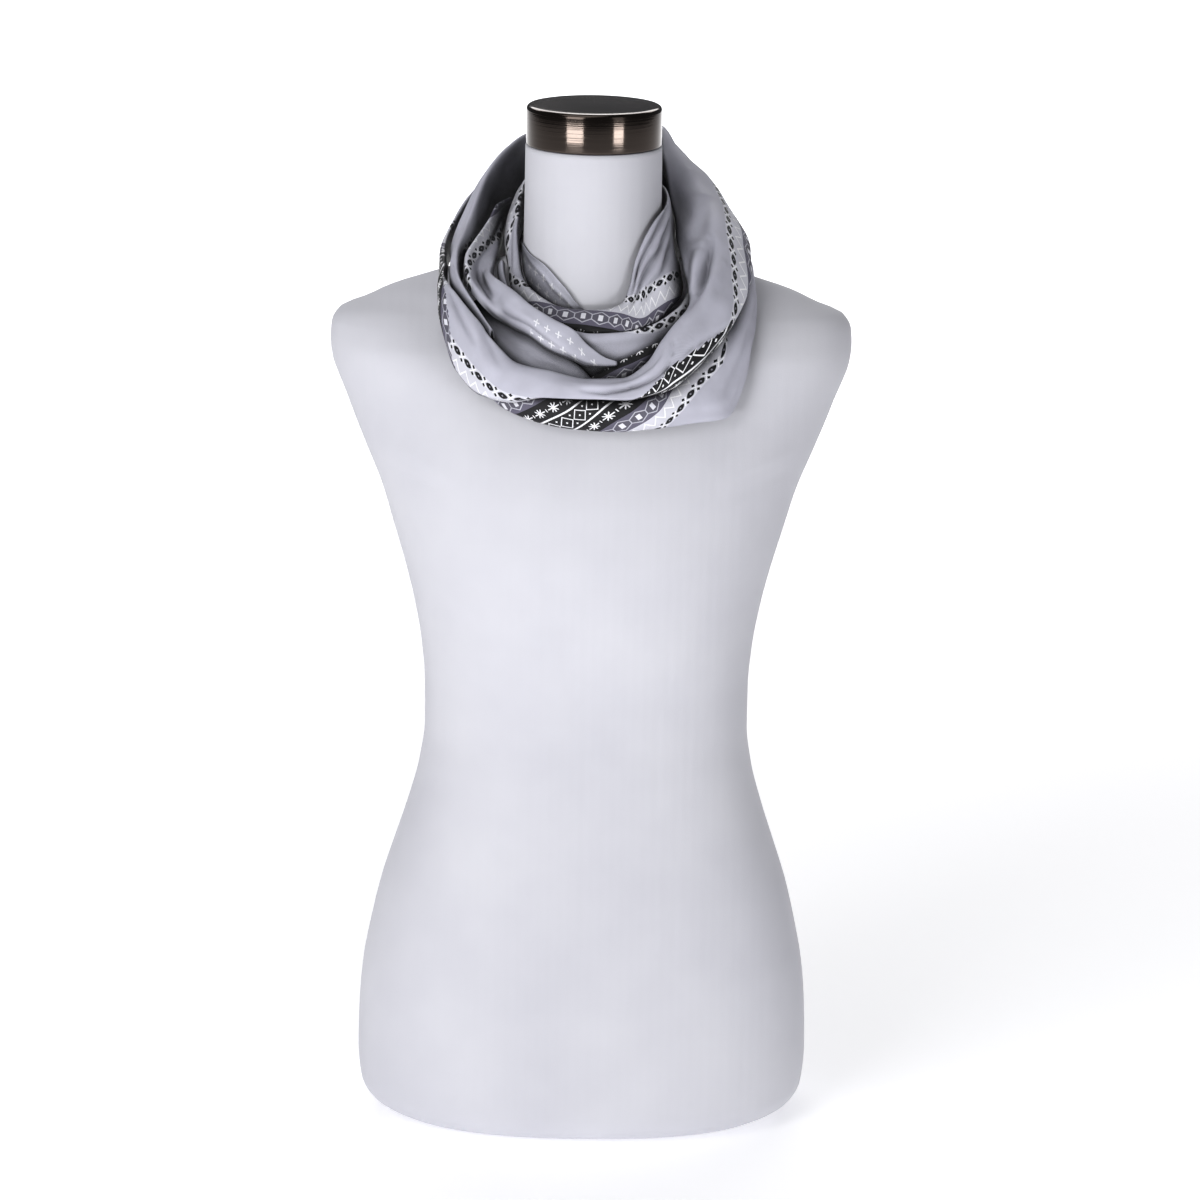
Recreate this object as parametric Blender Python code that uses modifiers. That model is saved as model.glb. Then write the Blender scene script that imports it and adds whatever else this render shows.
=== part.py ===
"""Infinity scarf, wound twice, on a limbless dress form with a metal neck cap.

Metres, +Z up, front towards -Y, the flat bottom of the form at Z = 0.
"""

import math

import bmesh
import bpy
from mathutils import Vector

MM = 0.001

NECK_TOP = 731.5 * MM
CAP_BOTTOM = 732 * MM
CAP_TOP = 761 * MM
CAP_RADIUS = 49 * MM
CAP_EDGE_ROUND = 3 * MM
CAP_SEGMENTS = 64
CAP_EDGE_STEPS = 3
CAP_SHARP_ANGLE = 40
NECK_RADIUS_MIN = 50 * MM

CLOTH_THICKNESS = 1.2 * MM
STEPS_PER_SPAN = 2
DEGREES_PER_STATION = 8
FORM_SEGMENTS = 72
FORM_SHARP_ANGLE = 60
SIDE_CROWDING = 0.25      # sides lie closer together over the narrow shoulders
BACK_NARROWNESS = 0.75    # the shoulders reach a little further round at the back

# The form, a row per level, in millimetres: height, half width, depth to the front, depth to the
# back, roundness of the body section, narrowness of the shoulders, and how much the section is a
# round neck with shoulders (1) and not a body (0).
FORM_LEVELS = [
    (0, 128, 84, 96, 2.4, 3, 0),
    (2, 141, 92, 105, 2.4, 3, 0),
    (6, 152, 98, 112, 2.4, 3, 0),
    (12, 161, 102, 115.5, 2.4, 3, 0),
    (22, 166.5, 104.5, 118, 2.4, 3, 0),
    (47, 168.8, 105, 119.9, 2.4, 3, 0),
    (79, 168, 104, 119.9, 2.4, 3, 0),
    (111, 165.4, 102, 118, 2.4, 3, 0),
    (142, 159.7, 99, 115, 2.4, 3, 0),
    (174, 152.2, 95.5, 109, 2.4, 3, 0),
    (206, 142.1, 91.5, 101, 2.35, 3, 0),
    (237, 132.1, 88, 94, 2.3, 3, 0),
    (268, 123.9, 85, 88, 2.3, 3, 0),
    (299, 119.9, 83.5, 85, 2.25, 3, 0),
    (330, 120, 85, 85, 2.25, 3, 0),
    (361, 122.4, 91, 87, 2.25, 3, 0),
    (392, 127.6, 99, 91, 2.2, 3, 0),
    (422, 134.7, 107, 95, 2.2, 3, 0),
    (453, 143.6, 112.5, 98.5, 2.2, 3, 0),
    (483, 152.5, 112, 101, 2.2, 3, 0),
    (513, 164.6, 106, 101.5, 2.2, 3, 0),
    (535, 173.4, 98, 100, 2.2, 3.5, 0.15),
    (550, 179, 91, 98, 2.2, 3.6, 0.35),
    (562, 184, 84, 95, 2.2, 3.8, 0.6),
    (575, 188.5, 74.5, 92, 2.2, 4.2, 0.85),
    (588, 190, 66, 88, 2.2, 5, 1),
    (600, 189.2, 60, 82, 2.2, 7, 1),
    (610, 183.5, 56, 76, 2.2, 10, 1),
    (618, 165, 54, 71, 2.2, 13, 1),
    (626, 149, 53, 66, 2.2, 19, 1),
    (631, 136, 52.2, 63.5, 2.2, 30, 1),
    (636, 120, 51.6, 61, 2.2, 44, 1),
    (641, 104, 51, 58.5, 2.2, 46, 1),
    (643.5, 88, 50.6, 56.5, 2.2, 46, 1),
    (647, 70, 50.3, 55, 2.2, 46, 1),
    (650.5, 58, 50.1, 53.5, 2.2, 34, 1),
    (654.5, 52, 50, 52, 2.2, 20, 1),
    (661, 50.2, 50, 50.6, 2.2, 12, 1),
    (680, 49.8, 49.8, 50, 2.2, 8, 1),
    (700, 49.6, 49.6, 49.6, 2.2, 6, 1),
    (732, 49.4, 49.4, 49.4, 2.2, 6, 1),
]

# The scarf's stretches, a row per section, in millimetres and degrees: the angle round the neck
# (0 in front, growing towards +X), then six points as (distance from the neck's axis, height)
# from the inner hem, up over the fold's crest (the third point) and down to the outer hem.

# The hem that stands against the neck, under the neck turn.
HEM_TURN = [
    (-98, (51.3, 667), (51.3, 665.6), (51.4, 664.2), (51.7, 662.8), (52, 662), (52.4, 661.4)),
    (-90, (51.3, 662), (51.4, 660.9), (51.7, 659.8), (52.1, 659.5), (52.6, 659.4), (53.2, 659.3)),
    (-75, (51.3, 660.5), (51.4, 659), (51.6, 657.5), (51.9, 656.2), (52.3, 655.1), (52.9, 654.1)),
    (-67, (51.4, 658.4), (51.6, 655), (51.9, 651.6), (52.3, 648.4), (52.8, 645.4), (53.5, 642.8)),
    (-60, (51.6, 656), (51.8, 651.5), (52.1, 647), (52.5, 643), (53, 639.4), (53.7, 636.4)),
    (-42, (52.6, 651.5), (53.4, 646), (54.3, 640), (55.2, 634), (56, 627), (56.8, 621)),
    (-21, (55, 637.5), (55.8, 633), (56.6, 628), (57.2, 623), (57.8, 617), (58.4, 611)),
    (-6, (57.2, 622.5), (57.4, 620), (57.6, 617.5), (57.8, 615), (58.1, 612.5), (58.5, 610)),
    (10, (57.2, 617), (57.4, 615.6), (57.6, 614.2), (57.9, 612.8), (58.2, 611.4), (58.7, 610)),
    (22, (56.8, 614.5), (57, 613.6), (57.2, 612.7), (57.5, 611.8), (57.9, 610.9), (58.3, 610)),
]

# The first turn round the neck; on the wearer's left it climbs as flat pleats.
NECK_TURN = [
    (-180, (53, 688), (53.2, 698), (55.4, 704), (58.6, 699), (59.6, 685), (58.4, 673)),
    (-150, (52.4, 688), (52.6, 699), (54.7, 704.5), (58.2, 700), (59.6, 687), (59, 670)),
    (-120, (52.2, 688), (52.4, 698), (54.4, 703.5), (58.4, 700), (62, 689), (61.5, 671)),
    (-103, (52.2, 677), (52.2, 684), (54.1, 689.5), (58.8, 686), (63.5, 676), (62.6, 664)),
    (-94, (53.2, 671), (53.2, 676), (54.3, 681), (59.3, 677), (63.4, 668), (62.2, 663)),
    (-84, (53.9, 663), (53.9, 666.5), (55.6, 670.5), (59.7, 667), (63.3, 659.5), (62.4, 656)),
    (-72, (54.8, 649), (54.8, 652), (56.8, 656), (61, 653), (63.8, 647), (62.6, 643.5)),
    (-61, (56.5, 634), (56.7, 638), (58.8, 642), (63, 640.5), (66.6, 635), (65.5, 630.5)),
    (-44, (59, 622), (59.3, 628), (61.8, 633.5), (66.3, 633), (70.8, 627), (69.8, 620.5)),
    (-33, (60, 617), (60.3, 622.5), (62.8, 628), (68, 627.5), (74, 621.5), (72.8, 615)),
    (-21, (60.6, 611.5), (60.8, 617), (63.2, 623.3), (69, 622.5), (76, 615.5), (74.5, 608.5)),
    (-8, (60.8, 609), (61, 615.5), (63.4, 622.3), (70, 621), (77.5, 612), (75.5, 604.5)),
    (8, (60.8, 609), (61, 616), (63.4, 623), (70.5, 621), (79, 611), (76.5, 603.5)),
    (20, (60.4, 611), (60.5, 619), (62.8, 626.8), (71, 624), (81.5, 612.5), (78.5, 604.5)),
    (27, (57.8, 622), (57.7, 629), (59.6, 637), (69, 631), (83.5, 616), (79.7, 608)),
    (34, (55.4, 640), (54.8, 648), (56.4, 656), (67.5, 640), (84, 620.5), (80.2, 612.5)),
    (45, (54, 656), (53.6, 665), (55.3, 672), (66, 652), (82.4, 630), (78, 623)),
    (59, (53, 668), (52.9, 677), (54.6, 683), (61.5, 663), (75.2, 637), (73.4, 631)),
    (84, (52.3, 678), (52.3, 686), (54, 691.5), (56.6, 682), (58, 667), (56.5, 659.5)),
    (110, (52.2, 685), (52.2, 694), (54, 699), (56.9, 692), (58, 682), (56.9, 671)),
    (150, (52.4, 690), (52.6, 700), (54.6, 705), (58.2, 700), (59.6, 688), (58.4, 675)),
]

# The plain turn below the neck turn.
MIDDLE_TURN = [
    (-73, (66.4, 645.5), (66.4, 647.5), (68.1, 650), (70.2, 647.8), (70.8, 645), (70, 643)),
    (-62, (70, 635), (70, 638), (71.8, 641), (74, 638.5), (74.8, 634), (74, 631)),
    (-50, (74, 621.6), (74, 626.5), (75.8, 630), (77.8, 627.5), (78.4, 622.1), (77.6, 618.6)),
    (-40, (75.6, 612.3), (75.8, 619.2), (77.7, 623.7), (79.6, 620.7), (79.9, 613.3), (79, 608.3)),
    (-20, (78, 600.8), (78, 610), (79.9, 615), (82.4, 612), (83.3, 601.8), (82.4, 593.8)),
    (0, (79.3, 588.9), (79.3, 601.2), (81.8, 609.2), (86.5, 604.2), (89, 589.9), (88, 576.9)),
    (15, (81.2, 590.8), (81.2, 601.5), (83.3, 610), (87.8, 605), (90.3, 591.8), (89.3, 579.3)),
    (30, (84.2, 595.9), (84.2, 607.5), (86.5, 615), (90.5, 610.5), (92.8, 598.9), (91.8, 587.9)),
    (45, (84.6, 613), (84.8, 618.5), (87.4, 624.3), (91.6, 621), (94.2, 613.5), (93.2, 607)),
    (53, (82, 620), (82.2, 624.5), (84.6, 629.3), (89, 627.3), (92, 621), (91, 615.5)),
    (62, (78.8, 628), (79, 632.5), (81, 637), (85.4, 635.3), (88.6, 630), (87.6, 625.5)),
    (85, (64.2, 659), (64.2, 662.5), (66, 666.5), (69, 665), (71, 660.5), (70.3, 657)),
    (105, (62.8, 662), (62.8, 668), (64.6, 672), (67, 669.5), (68, 664), (67.2, 659)),
]

# The patterned edge that looks out from behind the outer turn.
INNER_TURN = [
    (-13, (92.3, 562), (92.3, 568), (94.1, 572.5), (96.1, 569), (96.9, 562), (96, 556)),
    (0, (92.2, 565), (92.2, 574), (94.1, 579.3), (96.6, 575), (97.9, 566), (97.1, 558)),
    (10, (92.8, 572), (92.8, 584), (95.3, 590), (98.8, 584), (100, 572), (99.2, 562)),
    (18, (93.4, 578), (93.4, 590), (96, 596.5), (99.6, 590), (100.6, 577), (99.8, 566)),
    (28, (95.4, 584), (95.4, 597), (97.8, 603.5), (100.4, 598), (101.1, 585), (100.3, 574)),
    (45, (97, 598), (97.1, 603.5), (98.8, 608), (101, 605.5), (101.8, 599), (101, 594)),
    (62, (93.8, 620), (94, 624), (95.8, 628), (98.2, 626), (99.3, 621.5), (98.6, 619)),
    (75, (91.8, 636), (92, 639), (93.8, 642.5), (96.2, 640.5), (97.2, 637), (96.6, 635)),
]

# Falls from the nape, lies open on the wearer's right and ends in a point at the front.
LEFT_FOLD = [
    (-120, (66, 672), (66, 677), (67, 682), (69, 685.5), (71.2, 685), (72, 679)),
    (-103, (66.4, 664), (66.3, 669), (67.4, 675), (69.2, 680.5), (71.8, 683.5), (73.6, 677)),
    (-94, (66.5, 657.5), (66.6, 662), (68.5, 667), (71.2, 673.5), (74, 677.5), (76.2, 670.5)),
    (-86, (67.6, 654), (68.2, 657.5), (71.2, 661.5), (75, 667.5), (78.8, 671.5), (81.2, 664.5)),
    (-78, (71, 650), (72.4, 652.5), (76.8, 655), (82.2, 660), (86.6, 664), (89.2, 657)),
    (-70, (75.5, 643.5), (77, 648), (83, 647.5), (89.5, 649.5), (96, 654.5), (98.4, 647)),
    (-62, (79.8, 637), (82.2, 643.5), (86.2, 641.5), (91, 637.5), (99.8, 643), (102, 636.5)),
    (-54, (80.2, 633), (82.2, 640.5), (87, 638), (92, 631.5), (98.4, 633), (101, 628)),
    (-47, (80.6, 629), (82.4, 637.5), (88, 635), (93, 626.5), (96, 622), (95.5, 617.5)),
    (-40, (81.8, 625), (83.3, 634), (89, 632), (94, 623), (93.6, 615.5), (91, 611.5)),
    (-29, (83.6, 617), (85.3, 626.3), (90, 624), (94.6, 616.5), (94, 610), (91.3, 607)),
    (-18, (85.2, 611.2), (86.4, 619), (91, 616), (95.6, 607), (95, 601), (92.6, 598)),
    (-8, (87.6, 604.5), (88.4, 613), (92.6, 608), (97, 599), (96.3, 595), (94.2, 592.6)),
    (-1, (91.4, 597.4), (92, 602.5), (94.8, 599), (98, 593.4), (97.6, 590.6), (96.2, 588.8)),
    (5, (94.6, 593), (95.4, 596), (96.6, 594.8), (98.6, 591.8), (98.6, 590), (97.6, 589)),
    (11, (97.4, 591.6), (97.9, 592.2), (98.4, 592), (99, 591.2), (99.2, 590.6), (99, 590)),
]

# The floor of the hollow behind the outer turn.
UNDER_FOLD = [
    (-60, (90, 628), (94, 626.5), (97.5, 624.5), (100, 621.5), (101.4, 618), (101.8, 614.5)),
    (-52, (87, 622.5), (91.5, 619.5), (96.5, 616), (100.5, 611), (102.8, 605.5), (103.6, 601)),
    (-40, (86, 614), (88.6, 609), (96, 603.5), (101, 596), (103.3, 587), (103.6, 580)),
    (-28, (87, 607.5), (90, 601.8), (96.3, 596), (100.4, 588), (102, 579), (102.2, 572)),
    (-15, (88.6, 596.5), (91.2, 592.5), (95.8, 588), (99.6, 580.5), (101.2, 571.5), (101.4, 564.5)),
    (-5, (91.8, 587.4), (93.8, 586), (96.8, 582.6), (100, 575.8), (101.3, 568), (101.5, 562)),
    (3, (93, 588.4), (94.4, 587.6), (96.9, 585.4), (99.4, 580), (101, 573), (101.6, 566)),
]

# The high back of the second turn, coming down on the wearer's right.
LEFT_FALL = [
    (-250, (68.5, 643), (69.5, 657), (70.5, 676), (72.5, 672), (73.5, 660), (73, 645)),
    (-235, (69, 640), (70.5, 662), (72.5, 682), (75, 677), (76.5, 664), (75.5, 643)),
    (-220, (72.3, 660), (74, 680), (76.5, 686), (79.8, 682.5), (81, 675), (80.5, 662)),
    (-205, (74, 676), (77, 691), (80.6, 702), (84, 697.5), (85.8, 686), (84.6, 675)),
    (-180, (75.5, 668), (79, 703), (85.5, 722), (91.2, 711), (94.8, 690), (93.2, 673)),
    (-150, (74.5, 655), (78.5, 706), (86, 728.5), (94, 716), (99.6, 690), (97.4, 671)),
    (-130, (75, 640), (76, 676), (81, 718.5), (90, 708), (97.6, 686), (95.8, 669)),
    (-108, (75.6, 638), (77, 664), (82.6, 699), (91, 690), (98.6, 672), (96.8, 662)),
    (-91, (79.2, 653), (83, 667), (88.6, 679), (95.6, 671), (102.4, 656), (100.8, 650.5)),
    (-82, (86.6, 655), (89.6, 662), (94, 669), (99.4, 661.5), (103.2, 650.5), (102, 646)),
    (-73, (97.6, 640), (99.4, 649), (102.4, 657.3), (105.8, 650.5), (106.8, 642), (105.6, 637)),
    (-62, (104, 626), (104.6, 634.5), (107.4, 641.8), (110, 636.5), (110.8, 628.5), (110, 622)),
    (-51, (104.4, 612), (104.6, 620), (107.2, 626.5), (109.3, 622), (109.8, 614.5), (109, 609.5)),
    (-41, (105.4, 601), (105.4, 606.5), (107.1, 611), (109, 607.5), (109.3, 601.5), (108.4, 597.5)),
]

# The lowest stretch, lying on the chest.
OUTER_UNDER = [
    (-45, (115.6, 589), (116.8, 594), (119.4, 596.5), (122.4, 593), (122.4, 587), (120, 583.5)),
    (-33, (111.5, 574.5), (113, 580.5), (116.4, 582.5), (120.2, 575.5), (118.2, 561.5), (113, 558)),
    (-27, (109.2, 568.5), (110.5, 574.5), (113.6, 576), (117, 568), (114.6, 555), (108.8, 553)),
    (-18, (107, 561.5), (108.2, 568), (110.8, 570.4), (114.6, 563), (110.8, 550), (104.2, 549)),
    (-4, (106.6, 557), (107.4, 564), (110.6, 568.4), (115.4, 561.5), (108.9, 546.3), (102.2, 547)),
    (9, (106.8, 556), (107.6, 563.5), (111, 568), (116.4, 560.5), (109.9, 545.3), (103.2, 546)),
    (24, (107.6, 559), (109, 567.5), (114, 573), (122, 561), (117.2, 547), (110.2, 548)),
    (36, (109.6, 569), (111.5, 581), (116.6, 589.6), (127.6, 571), (127.6, 552), (120.2, 551)),
    (46, (112.2, 582), (113.8, 596), (119, 605), (131.5, 586), (138, 556.5), (131, 552.5)),
    (54, (114.4, 595), (115.8, 607), (120, 615), (130.5, 603), (136.6, 578.5), (131, 573)),
    (60, (114.4, 606.5), (116, 616), (119.4, 622.4), (127.8, 615), (132.6, 598.6), (129.4, 595.6)),
    (66, (113.4, 619.4), (115, 626), (117.8, 630.4), (124.2, 624.6), (128.6, 610.2), (126.4, 607)),
    (72, (113, 629.6), (114.4, 634), (117, 637.6), (121.8, 632.6), (124.6, 622.6), (122.6, 620)),
    (83, (111.6, 642.2), (112.6, 645), (114.5, 647.4), (117, 645), (117.8, 640.4), (116.2, 639)),
    (92, (110.8, 645), (111.4, 647.3), (113.2, 649.4), (115.4, 647.2), (115.9, 643.8), (114.8, 642.6)),
]

# The second turn, all the way round outside the rest.
OUTER_TURN = [
    (-180, (98.6, 690), (97.8, 704), (99.4, 718), (108.6, 712), (116, 686), (113, 667)),
    (-150, (103, 677), (103.8, 694), (106.6, 705), (112, 697), (114.6, 677), (111.4, 663)),
    (-130, (100.8, 674), (101.6, 685), (104.2, 693), (108.6, 687), (110.6, 671), (108.2, 659)),
    (-110, (101.6, 644), (102.2, 668), (104.4, 674.5), (107.6, 669.5), (108.4, 658.5), (106.8, 652)),
    (-90, (104.4, 643.8), (105.2, 652.5), (107.2, 657.5), (109.8, 654.3), (110.2, 648), (108.8, 644)),
    (-78, (107, 634), (107.5, 644), (109.3, 648.6), (111.6, 645.3), (112.2, 638.8), (110.6, 635)),
    (-68, (110.6, 627), (112, 633.6), (114.2, 640.8), (118, 637), (118.8, 627.5), (116, 622.5)),
    (-60, (112.8, 619), (113.3, 628), (115.6, 636), (121.6, 629.5), (124.6, 615.5), (121.2, 609.5)),
    (-53, (112.4, 610), (112.9, 620), (115.6, 628.5), (124, 620.5), (129, 600.5), (124.8, 593.5)),
    (-46, (112.1, 602), (112.6, 612), (115.8, 619.8), (126, 610), (133, 587.5), (128.2, 579.5)),
    (-38, (110.2, 586), (111.5, 597), (115.4, 606.4), (125, 597.5), (131.4, 574.5), (126.2, 567.5)),
    (-28, (105.8, 572), (107.2, 583), (112, 591), (121, 586.3), (126.4, 569.5), (121.2, 564.5)),
    (-15, (104, 570), (104.4, 579), (108.2, 586.5), (116, 584), (120, 572), (115, 569.6)),
    (0, (104.2, 566), (104.3, 574), (107.3, 581.6), (115, 580), (119.4, 571), (114.6, 569.4)),
    (12, (104.5, 566), (104.6, 574), (107.5, 581.6), (115.5, 580), (121, 571.2), (116.2, 568.6)),
    (22, (104.7, 576), (104.8, 585), (107.7, 592.6), (116.5, 589), (125, 577.2), (120.2, 571.8)),
    (28, (104.6, 590), (104.7, 600), (107.3, 607.6), (117, 603), (129, 585.2), (124.2, 577)),
    (36, (103.4, 605), (103.4, 613), (105.7, 620.6), (117, 617), (131, 597.6), (126.4, 589)),
    (46, (96.9, 619.6), (96.9, 624), (99.2, 629.6), (115, 629), (131, 616), (127.4, 605.5)),
    (54, (87.2, 633), (86.9, 636), (89, 640.6), (106, 643), (128, 627.5), (125, 617)),
    (62, (76.6, 644), (75.6, 646), (77.4, 650.2), (97, 655.5), (124, 637.5), (121.6, 628.5)),
    (85, (62.2, 662.5), (61.5, 666), (63.1, 670.4), (86, 682.5), (113, 661), (111.6, 652.8)),
    (109, (61.4, 680), (61, 684.4), (62.6, 689), (84, 698), (110.4, 673), (108.8, 659.5)),
    (132, (69.4, 702), (68.4, 709), (70.4, 716.8), (88, 717), (111.4, 691), (108.4, 668)),
    (150, (86.2, 706), (86.6, 720), (89.2, 733), (101, 729.5), (114.6, 696), (110.6, 669)),
    (165, (91.2, 700), (91.6, 714), (94.2, 727.5), (105, 722.5), (116, 691), (112.2, 668)),
]

# A stretch that closes on itself goes all the way round the neck.
STRETCHES = [
    ("scarf_hem_turn", HEM_TURN, False),
    ("scarf_neck_turn", NECK_TURN, True),
    ("scarf_middle_turn", MIDDLE_TURN, False),
    ("scarf_inner_turn", INNER_TURN, False),
    ("scarf_left_fold", LEFT_FOLD, False),
    ("scarf_under_fold", UNDER_FOLD, False),
    ("scarf_left_fall", LEFT_FALL, False),
    ("scarf_outer_under", OUTER_UNDER, False),
    ("scarf_outer_turn", OUTER_TURN, True),
]

FORM_WHITE = (0.72, 0.71, 0.75, 1)
CAP_GUNMETAL = (0.075, 0.068, 0.062, 1)
CLOTH_SILVER = (0.36, 0.36, 0.41, 1)


def clear_scene():
    for old in list(bpy.data.objects):
        bpy.data.objects.remove(old, do_unlink=True)


def material(name, colour, roughness, metallic):
    made = bpy.data.materials.new(name)
    made.use_nodes = True
    shader = made.node_tree.nodes["Principled BSDF"]
    shader.inputs["Base Color"].default_value = colour
    shader.inputs["Roughness"].default_value = roughness
    shader.inputs["Metallic"].default_value = metallic
    return made


def add_object(name, points, faces, look, collection):
    mesh = bpy.data.meshes.new(name)
    mesh.from_pydata(points, [], faces)
    mesh.materials.append(look)
    mesh.shade_smooth()
    made = bpy.data.objects.new(name, mesh)
    collection.objects.link(made)
    return made


def smooth_between(places, values, place):
    """A curve through the values that never overshoots them, read at one place."""
    gaps = [b - a for a, b in zip(places, places[1:])]
    rises = [(b - a) / gap for a, b, gap in zip(values, values[1:], gaps)]
    slopes = [0.0] * len(places)
    slopes[0] = rises[0]
    slopes[-1] = rises[-1]
    for i in range(1, len(places) - 1):
        if rises[i - 1] * rises[i] > 0:
            before = 2 * gaps[i] + gaps[i - 1]
            after = gaps[i] + 2 * gaps[i - 1]
            slopes[i] = (before + after) / (before / rises[i - 1] + after / rises[i])
    span = 0
    while span < len(gaps) - 1 and place > places[span + 1]:
        span += 1
    t = (place - places[span]) / gaps[span]
    ease = t * t * (3 - 2 * t)
    start_pull = t * (1 - t) ** 2
    end_pull = t * t * (t - 1)
    value = values[span] * (1 - ease) + values[span + 1] * ease
    return value + gaps[span] * (start_pull * slopes[span] + end_pull * slopes[span + 1])


def section_points(corners, steps):
    """A smooth line through a section's points, with the same number of steps in each span."""
    first = corners[0] * 2 - corners[1]
    last = corners[-1] * 2 - corners[-2]
    line = [first] + corners + [last]
    points = []
    for i in range(1, len(corners)):
        a, b, c, d = line[i - 1:i + 3]
        for step in range(steps):
            t = step / steps
            bend = (a * 2 - b * 5 + c * 4 - d) * t * t + (b * 3 - a - c * 3 + d) * t ** 3
            points.append((b * 2 + (c - a) * t + bend) * 0.5)
    points.append(corners[-1])
    return points


def stretch_sections(rows, closed):
    """The sections of one stretch at even angles, each a list of points in space."""
    start = rows[0][0]
    turn = 360 if closed else rows[-1][0] - start
    count = max(6, round(turn / DEGREES_PER_STATION))
    if closed:
        around = [(row[0] - 360, *row[1:]) for row in rows[-2:]]
        onward = [(row[0] + 360, *row[1:]) for row in rows[:2]]
        rows = around + rows + onward
    angles = [row[0] for row in rows]
    sections = []
    for station in range(count if closed else count + 1):
        angle = start + turn * station / count
        corners = []
        for i in range(1, 7):
            radius = smooth_between(angles, [row[i][0] for row in rows], angle)
            height = smooth_between(angles, [row[i][1] for row in rows], angle)
            corners.append(Vector((radius, height)) * MM)
        turned = math.radians(angle)
        outward = Vector((math.sin(turned), -math.cos(turned), 0))
        line = section_points(corners, STEPS_PER_SPAN)
        sections.append([outward * point.x + Vector((0, 0, point.y)) for point in line])
    return sections


def add_stretch(name, rows, closed, look, collection):
    sections = stretch_sections(rows, closed)
    width = len(sections[0])
    points = [point for section in sections for point in section]
    faces = []
    for station in range(len(sections) if closed else len(sections) - 1):
        here = station * width
        there = (station + 1) % len(sections) * width
        for i in range(width - 1):
            faces.append((here + i, here + i + 1, there + i + 1, there + i))
    cloth = add_object(name, points, faces, look, collection)
    shell = cloth.modifiers.new("cloth thickness", "SOLIDIFY")
    shell.thickness = CLOTH_THICKNESS
    shell.offset = 0
    return cloth


def form_radius(level, angle):
    """How far the form's skin is from its axis, at one level and angle (0 in front)."""
    height, half_width, front, back, roundness, narrowness, neck_share = level
    side = abs(math.sin(angle))
    depth = front if math.cos(angle) >= 0 else back
    body = ((side / half_width) ** roundness
            + (abs(math.cos(angle)) / depth) ** roundness) ** (-1 / roundness)
    neck_width = min(half_width, max(front, NECK_RADIUS_MIN / MM))
    neck = 1 / math.hypot(side / neck_width, math.cos(angle) / depth)
    power = narrowness if math.cos(angle) >= 0 else narrowness * BACK_NARROWNESS
    shoulders = neck + (half_width - neck_width) * side ** power
    return (body * (1 - neck_share) + shoulders * neck_share) * MM


def add_form(look, collection):
    points = []
    for level in FORM_LEVELS:
        for i in range(FORM_SEGMENTS):
            # Crowded towards the sides, where the shoulders are narrow.
            even = 2 * math.pi * i / FORM_SEGMENTS
            angle = even + SIDE_CROWDING * math.sin(2 * even)
            radius = form_radius(level, angle)
            height = min(level[0] * MM, NECK_TOP)
            points.append((radius * math.sin(angle), -radius * math.cos(angle), height))
    faces = []
    for row in range(len(FORM_LEVELS) - 1):
        for i in range(FORM_SEGMENTS):
            j = (i + 1) % FORM_SEGMENTS
            here = row * FORM_SEGMENTS
            above = here + FORM_SEGMENTS
            faces.append((here + i, here + j, above + j, above + i))
    top = (len(FORM_LEVELS) - 1) * FORM_SEGMENTS
    faces.append(tuple(reversed(range(FORM_SEGMENTS))))
    faces.append(tuple(range(top, top + FORM_SEGMENTS)))
    form = add_object("form_torso", points, faces, look, collection)
    form.data.set_sharp_from_angle(angle=math.radians(FORM_SHARP_ANGLE))
    return form


def add_cap(look, collection):
    height = CAP_TOP - CAP_BOTTOM
    mesh = bpy.data.meshes.new("neck_cap")
    shape = bmesh.new()
    bmesh.ops.create_cone(shape, cap_ends=True, segments=CAP_SEGMENTS, radius1=CAP_RADIUS,
                          radius2=CAP_RADIUS, depth=height)
    rim = [edge for edge in shape.edges if all(v.co.z > 0 for v in edge.verts)]
    bmesh.ops.bevel(shape, geom=rim, offset=CAP_EDGE_ROUND, segments=CAP_EDGE_STEPS, profile=0.5,
                    affect="EDGES")
    shape.to_mesh(mesh)
    shape.free()
    mesh.materials.append(look)
    mesh.shade_smooth()
    mesh.set_sharp_from_angle(angle=math.radians(CAP_SHARP_ANGLE))
    cap = bpy.data.objects.new("neck_cap", mesh)
    cap.location.z = CAP_BOTTOM + height / 2
    collection.objects.link(cap)
    return cap


clear_scene()
scarf_on_form = bpy.data.collections.new("infinity scarf on dress form")
bpy.context.scene.collection.children.link(scarf_on_form)

form_look = material("form white jersey", FORM_WHITE, 0.85, 0)
cap_look = material("cap gunmetal", CAP_GUNMETAL, 0.12, 1)
cloth_look = material("scarf cloth", CLOTH_SILVER, 0.7, 0)

add_form(form_look, scarf_on_form)
add_cap(cap_look, scarf_on_form)
for stretch_name, stretch_rows, goes_round in STRETCHES:
    add_stretch(stretch_name, stretch_rows, goes_round, cloth_look, scarf_on_form)
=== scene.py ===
import math

import bpy
import numpy as np
from mathutils import Matrix, Vector


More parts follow.
